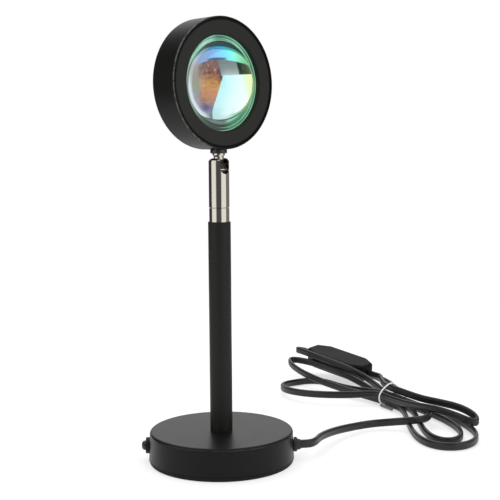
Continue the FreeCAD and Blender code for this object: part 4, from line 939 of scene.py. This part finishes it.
    def flange(self, dome: Signal) -> Signal:
        """The flange's colours, laid round the dome's.

        Args:
            dome: the colour of the dome.

        Returns:
            The colour of the whole lens.
        """
        paint = self.paint
        x, y, depth = paint.axes(self.lens.seat, self.lens.centre)
        radius = (x * x + y * y).root()
        wobble = paint.noise(200, 3.0) - 0.5
        streak = paint.noise(420, 3.0) - 0.5
        lower, upper = 0 - y, (y + 0.15 * x).rise(9, 15)
        outer = (radius + 0.5 * wobble).band(28.2, 0.14, 0.16)
        inner = (radius + wobble).band(26.4, 0.10, 0.14)
        crescent = paint.shaded(self.ramp("crescent", x / 50 + 0.5 + 0.03 * streak), 0.95 + 0.4 * streak)
        ring = self.ramp("flange", y / 57.5 + 0.5 + 0.05 * wobble)
        for coat, share in (
            ("6d7d78", lower.rise(17, 21) * (1 - radius.rise(24.0, 24.8))),
            ("3f8f6c", x.rise(0, 10) * 0.75),
            # the dark inner shade and the bright crescent at the top
            ("06323a", upper * (1 - (radius + 0.6 * wobble).rise(24.8, 25.5))),
            (crescent, upper * (radius + 0.8 * wobble).rise(25.2, 25.9)),
            ("27483a", upper * radius.band(27.3, 0.15, 0.25) * 0.7),
            # thin bright lines that follow the edge, and the shade at the edge itself
            ("a5dbb0", outer.most(inner) * x.rise(-6, 6) * 0.8),
            ("5fae86", radius.band(28.3, 0.16, 0.2) * (0 - x).rise(5, 15) * 0.7),
            ("20352c", radius.rise(28.45, 28.7)),
            ("8ccfb8", lower.rise(17, 19) * x.rise(2, 6) * (1 - radius.rise(23.2, 24.0))),
            ("3d6a5c", self.limb.band(1.03, 0.008, 0.02) * (0 - x).rise(8, 14) * 0.7),
        ):
            ring = self.lay(ring, coat, share)
        on_flange = 1 - depth.rise(self.flange_top, self.flange_top + 0.25)
        on_flange = on_flange.most(radius.rise(self.dome_foot, self.dome_foot + 0.15))
        on_flange = on_flange * self.limb.rise(0.995, 1.01).most(self.a.rise(-0.25, -0.15))
        return self.lay(dome, ring, on_flange)


# ---------------------------------------------------------------- leads

class Side(Enum):
    """The side on which a loop of the hank starts, seen along its heading."""

    LEFT = 1
    RIGHT = -1


@dataclass(frozen=True)
class Loop:
    """One loop of the hank, given by its own measures."""

    heading: float
    reach: float
    width: float
    bend: float
    tip_height: float
    lean: float
    hump: float
    opening: float
    side: Side
    steps: int = 12
    ground: float = 0.00265

    def points(self, start: Vector, end: Vector) -> list[Vector]:
        """The loop's inner points.

        Args:
            start: where the loop leaves the tie.
            end: where it comes back to it.

        Returns:
            The points between the two.
        """
        found = []
        for i in range(1, self.steps):
            t = i / self.steps
            rise = math.sin(math.pi * t)
            wave = math.sin(2 * math.pi * t)
            along = self.reach * rise
            spread = 1 + self.opening * math.cos(2 * math.pi * t)
            across = self.side.value * self.width / 2 * wave * spread
            angle = self.heading + self.bend * along / self.reach
            ends = start.lerp(end, t)
            height = ends.z * (1 - rise) + self.tip_height * rise + self.lean * across + self.hump * wave**2
            spot = ends + heading_vector(angle) * along + heading_vector(angle + 90) * across
            found.append(Vector((spot.x, spot.y, max(height, self.ground))))
        return found


def heading_vector(degrees: float) -> Vector:
    """The level direction at an angle from X."""
    angle = math.radians(degrees)
    return Vector((math.cos(angle), math.sin(angle), 0))


LOOPS: dict[str, Loop] = {
    "low_left": Loop(166, 0.088, 0.054, -32, 0.0026, 0.10, 0.0, 0.0, Side.RIGHT),
    "high_right": Loop(-64, 0.074, 0.011, 10, 0.0074, 0.0, 0.0046, -0.3, Side.RIGHT),
    "inner_right": Loop(-74, 0.082, 0.022, -9, 0.0025, 0.0, 0.0, 0.0, Side.LEFT),
    "high_left": Loop(125, 0.114, 0.023, 0, 0.015, -0.06, 0.0, 0.3, Side.RIGHT),
    "outer_right": Loop(-74, 0.096, 0.034, -9, 0.0025, 0.0, 0.0, 0.0, Side.RIGHT),
}


@dataclass(frozen=True)
class Strand:
    """A strand's place in the tie, and how far it runs straight before and after it."""

    left: float
    height: float
    behind: float
    past: float
    bend_at: float


STRANDS: dict[str, Strand] = {
    "first_in": Strand(0.0026, 0.0087, 0.014, 0.008, -0.0028),
    "first_back": Strand(0.0077, 0.0087, 0.016, 0.008, -0.0028),
    "first_out": Strand(0.0005, 0.0139, 0.016, 0.008, -0.0028),
    "second_in": Strand(-0.0051, 0.0035, 0.026, 0.008, -0.007),
    "second_mid": Strand(0.0, 0.0035, 0.026, 0.008, -0.007),
    "second_back": Strand(0.0051, 0.0035, 0.022, 0.008, -0.007),
    "second_out": Strand(-0.0102, 0.0035, 0.026, 0.008, -0.007),
}


TIE_MIDDLE: Point = (0.1235, 0.130, 0.0)
TIE_HEADING = 116.0


@dataclass
class Flex:
    """The flat twin flex: its section, its route in two parts and its hank."""

    width: float = 0.0052
    thickness: float = 0.0030
    groove: float = 0.16
    groove_share: float = 0.11
    squareness: float = 0.6
    outline_steps: int = 28
    smoothness: int = 5
    tie_middle: Vector = field(default_factory=lambda: Vector(TIE_MIDDLE))
    tie_heading: float = TIE_HEADING
    switch_middle: Vector = field(default_factory=lambda: Vector((0.0922, 0.2193, 0.0143)))
    switch_heading: float = 135.0
    switch_pitch: float = 7.6
    switch_length: float = 0.0606
    switch_run: float = 0.0065
    bush_tail: Point = (0.0410, 0.0, 0.0094)
    bush_nose: Point = (0.04915, 0.0, 0.0094)
    exit_corner: Point = (0.0537, 0.0, 0.0094)
    free_points: tuple[Point, ...] = (
        (0.0590, 0.0062, 0.0092), (0.0625, 0.0200, 0.0084), (0.0730, 0.0395, 0.0066),
        (0.0880, 0.0565, 0.0048), (0.1010, 0.0650, 0.0044), (0.1135, 0.0640, 0.0056),
        (0.1260, 0.0585, 0.0079), (0.1380, 0.0635, 0.0077), (0.1435, 0.0760, 0.0077),
        (0.1405, 0.0905, 0.0080),
    )
    tie_run: float = 0.013
    to_switch: tuple[Point, ...] = ((0.1195, 0.160, 0.0130), (0.1215, 0.178, 0.0114))
    from_switch: tuple[Point, ...] = (
        (0.0, 0.0, 0.0), (0.0045, 0.0, 0.0), (0.0093, 0.002, 0.0003), (0.011, 0.0065, 0.001),
        (0.0075, 0.0106, 0.0022), (-0.003, 0.0125, 0.0034), (-0.020, 0.0155, 0.0042),
        (-0.040, 0.0154, 0.0042), (-0.056, 0.0148, 0.0032), (-0.070, 0.011, -0.0005),
    )
    to_plug: tuple[Point, ...] = (
        (0.130, 0.163, 0.0027), (0.133, 0.178, 0.0027), (0.129, 0.196, 0.0030),
        (0.120, 0.214, 0.0044), (0.112, 0.228, 0.0044),
    )
    lead_turns: tuple[str, ...] = ("first_in", "low_left", "first_back", "high_right", "first_out")
    tail_turns: tuple[str, ...] = (
        "second_in", "inner_right", "second_mid", "high_left", "second_back", "outer_right", "second_out",
    )

    def strand(self, name: str, along: float) -> Vector:
        """A point of a strand, measured along the tie's heading from its middle."""
        strand = STRANDS[name]
        sideways = heading_vector(self.tie_heading + 90) * strand.left
        forward = heading_vector(self.tie_heading) * along
        return self.tie_middle + forward + sideways + UP * strand.height

    def ends(self, name: str) -> tuple[Vector, Vector]:
        """The two ends of a strand's straight stretch."""
        return self.strand(name, -STRANDS[name].behind), self.strand(name, STRANDS[name].past)

    def through(self, name: str, forwards: bool) -> list[Vector]:
        """A strand's straight stretch through the tie, along the tie's heading or against it."""
        behind, past = self.ends(name)
        points = [behind, self.strand(name, STRANDS[name].bend_at), past]
        return points if forwards else points[::-1]

    def hank(self, turns: tuple[str, ...], forwards: bool) -> list[Vector]:
        """The route through strands and loops by turns; after each loop it runs the other way.

        Args:
            turns: the names of a strand, a loop, a strand and so on, ending with a strand.
            forwards: whether the first strand runs along the tie's heading.

        Returns:
            The points of the route.
        """
        points = []
        for strand, shape, following in zip(turns[::2], turns[1::2], turns[2::2]):
            end = 1 if forwards else 0
            points += self.through(strand, forwards)
            points += LOOPS[shape].points(self.ends(strand)[end], self.ends(following)[end])
            forwards = not forwards
        return points + self.through(turns[-1], forwards)

    def beside_switch(self, along: float, out: float, up: float) -> Vector:
        """A point given from the switch's raised end: along its axis, out to its front, and up."""
        pitch = math.radians(self.switch_pitch)
        axis = heading_vector(self.switch_heading) * math.cos(pitch) + UP * math.sin(pitch)
        front = heading_vector(self.switch_heading + 90)
        end = self.switch_middle + axis * (self.switch_length / 2 + along)
        return end + front * out + UP * up

    def lead_points(self) -> list[Vector]:
        """The route from the base's bush to the switch's low end."""
        start = self.ends(self.lead_turns[0])[0]
        points = [Vector(p) for p in (self.bush_tail, self.exit_corner, *self.free_points)]
        points.append(start - heading_vector(self.tie_heading) * self.tie_run)
        points += self.hank(self.lead_turns, True)
        points += [Vector(p) for p in self.to_switch]
        low_end = -self.switch_length
        return points + [self.beside_switch(place, 0, 0) for place in (low_end - self.switch_run, low_end)]

    def tail_points(self) -> list[Vector]:
        """The route from the switch's raised end to the plug."""
        points = [self.beside_switch(*place) for place in self.from_switch]
        return points + self.hank(self.tail_turns, False) + [Vector(p) for p in self.to_plug]

    def section(self) -> Object:
        """The flex's section: two cores side by side with a groove between them."""
        curve = bpy.data.curves.new("flex_section", "CURVE")
        curve.dimensions = "2D"
        spline = curve.splines.new("POLY")
        spline.points.add(self.outline_steps - 1)
        for i, point in enumerate(spline.points):
            angle = 2 * math.pi * i / self.outline_steps
            height = self.width / 2 * math.sin(angle)
            waist = 1 - self.groove * math.exp(-((height / (self.width * self.groove_share)) ** 2))
            breadth = self.thickness / 2 * waist * abs(math.cos(angle)) ** self.squareness
            point.co = (math.copysign(breadth, math.cos(angle)), height, 0, 1)
        spline.use_cyclic_u = True
        return linked("flex_section", curve)

    def sweep(self, name: str, points: list[Vector]) -> tuple[Object, list[Vector]]:
        """The flex swept along its line.

        Args:
            name: the piece's name.
            points: the route.

        Returns:
            The mesh piece and the points of its line.
        """
        curve = smooth_curve(f"{name}_line", points, self.smoothness)
        curve.twist_mode = "Z_UP"
        line = linked(curve.name, curve)
        path = [Vector(v.co) for v in solid_copy(line).vertices]
        section = self.section()
        curve.bevel_mode = "OBJECT"
        curve.bevel_object = section
        curve.use_fill_caps = True
        skin = solid_copy(line)
        skin.name = name
        for item in (line, section):
            bpy.data.objects.remove(item)
        for polygon in skin.polygons:
            polygon.use_smooth = True
        skin.materials.clear()
        skin.materials.append(Finishes.FLEX.value.material())
        piece = linked(name, skin)
        log.info("%s: %d faces, %.3f m long", name, len(skin.polygons), path_length(path))
        return piece, path

    def build(self) -> None:
        lead, path = self.sweep("flex_to_switch", self.lead_points())
        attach(lead, "base")
        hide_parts("lead_free", "lead_hank")
        route = self.tail_points()
        tail, path = self.sweep("flex_to_plug", route)
        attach(tail, "base")
        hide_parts("tail_hank")


def solid_copy(item: Object) -> bpy.types.Mesh:
    """The mesh of a curve as it stands."""
    bpy.context.view_layer.update()
    graph = bpy.context.evaluated_depsgraph_get()
    return bpy.data.meshes.new_from_object(item.evaluated_get(graph))


def path_length(path: list[Vector]) -> float:
    """The length of a line through points."""
    return sum((b - a).length for a, b in zip(path, path[1:]))


# ---------------------------------------------------------------- tie

@dataclass
class Tie:
    """A covered wire round the hank's waist, its two ends twisted together."""

    wire_radius: float = 0.00055
    middle: Vector = field(default_factory=lambda: Vector(TIE_MIDDLE))
    heading: float = TIE_HEADING
    corners: tuple[tuple[float, float], ...] = (
        (-0.0128, 0.0007), (0.0088, 0.0007), (0.0124, 0.0093), (0.0030, 0.0175), (-0.0028, 0.0172),
        (-0.0138, 0.0046),
    )
    tail_start: tuple[float, float] = (0.0096, 0.0016)
    tail_heading: Point = (0.47, -0.883, 0.0)
    tail_length: float = 0.0145
    tail_turns: float = 6.5
    tail_radius: float = 0.00055
    tail_steps: int = 90

    def across(self, left: float, up: float) -> Vector:
        """A point in the tie's upright plane."""
        return self.middle + heading_vector(self.heading + 90) * left + UP * up

    def ring(self) -> BMesh:
        """The wire's closed turn round the hank."""
        points = [self.across(left, up) for left, up in self.corners]
        curve = smooth_curve("tie_ring", points, 16, closed=True)
        curve.bevel_depth = self.wire_radius
        curve.bevel_resolution = 3
        return self.as_mesh(curve)

    def twist(self, phase: float) -> BMesh:
        """One of the two twisted ends.

        Args:
            phase: where it starts round the twist, in radians.

        Returns:
            Its mesh.
        """
        start = self.across(*self.tail_start)
        along = Vector(self.tail_heading).normalized()
        level = along.cross(UP).normalized()
        points = []
        for i in range(self.tail_steps + 1):
            t = i / self.tail_steps
            angle = phase + 2 * math.pi * self.tail_turns * t
            swing = level * math.cos(angle) + UP * math.sin(angle)
            points.append(start + along * self.tail_length * t + swing * self.tail_radius)
        curve = smooth_curve("tie_twist", points, 2)
        curve.bevel_depth = self.wire_radius * 0.9
        curve.bevel_resolution = 2
        curve.use_fill_caps = True
        return self.as_mesh(curve)

    @staticmethod
    def as_mesh(curve: Curve) -> BMesh:
        """A curve's skin as a bmesh."""
        item = linked(curve.name, curve)
        mesh = bmesh.new()
        mesh.from_mesh(solid_copy(item))
        bpy.data.objects.remove(item)
        return mesh

    def build(self) -> None:
        """Makes the tie's ring and its twisted tail."""
        ring = finished_object("tie_ring", self.ring(), Finishes.WHITE.value.material())
        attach(ring, "base")
        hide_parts("twist_tie")
        twisted = Finishes.TWISTED.value.material()
        for i, phase in enumerate((0.0, math.pi)):
            strand = finished_object(f"tie_end_{i}", self.twist(phase), twisted)
            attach(strand, "base")
        log.info("tie: ring and two twisted ends")


# ---------------------------------------------------------------- the whole

def dress(name: str, material: Material) -> None:
    """Gives a CAD node its only material."""
    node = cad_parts[name]
    node.data.materials.clear()
    node.data.materials.append(material)
    log.info("%s: %s", name, material.name)


def dress_nodes() -> None:
    """Gives every CAD node that shows its own finish."""
    for finish, names in NODE_FINISHES.items():
        material = finish.value.material()
        for name in names:
            dress(name, material)


def dress_head(seat: Matrix) -> None:
    """Gives the head, its bezel, the ball stud and the base their own paints.

    Args:
        seat: the head's place.
    """
    drum = HeadPaint("satin_black_drum", (0.0062, 0.0063, 0.0057), 0.40, 0.13)
    # painted light: the face's copy of the satin paint is made lighter than the drum's, for the light that
    # falls on the face
    face = HeadPaint("satin_black_face_painted_lighter", (0.0150, 0.0153, 0.0138), 0.44, 0.2)
    dress("head_shell", drum.material(seat))
    dress("front_bezel", face.material(seat))
    dress("ball_stud", BallPaint().material())
    dress("base_shell", BasePaint().material())


def main() -> None:
    """Builds the studio and the lamp's looks, in order."""
    logging.basicConfig(level=logging.INFO, format="%(name)s: %(message)s")
    studio = Studio()
    studio.camera()
    Flex().build()
    Tie().build()
    dress_nodes()
    lens = Lens()
    dress_head(lens.seat)
    lens.build(studio.camera_place)
    studio.build()


if __name__ == "__main__":
    main()
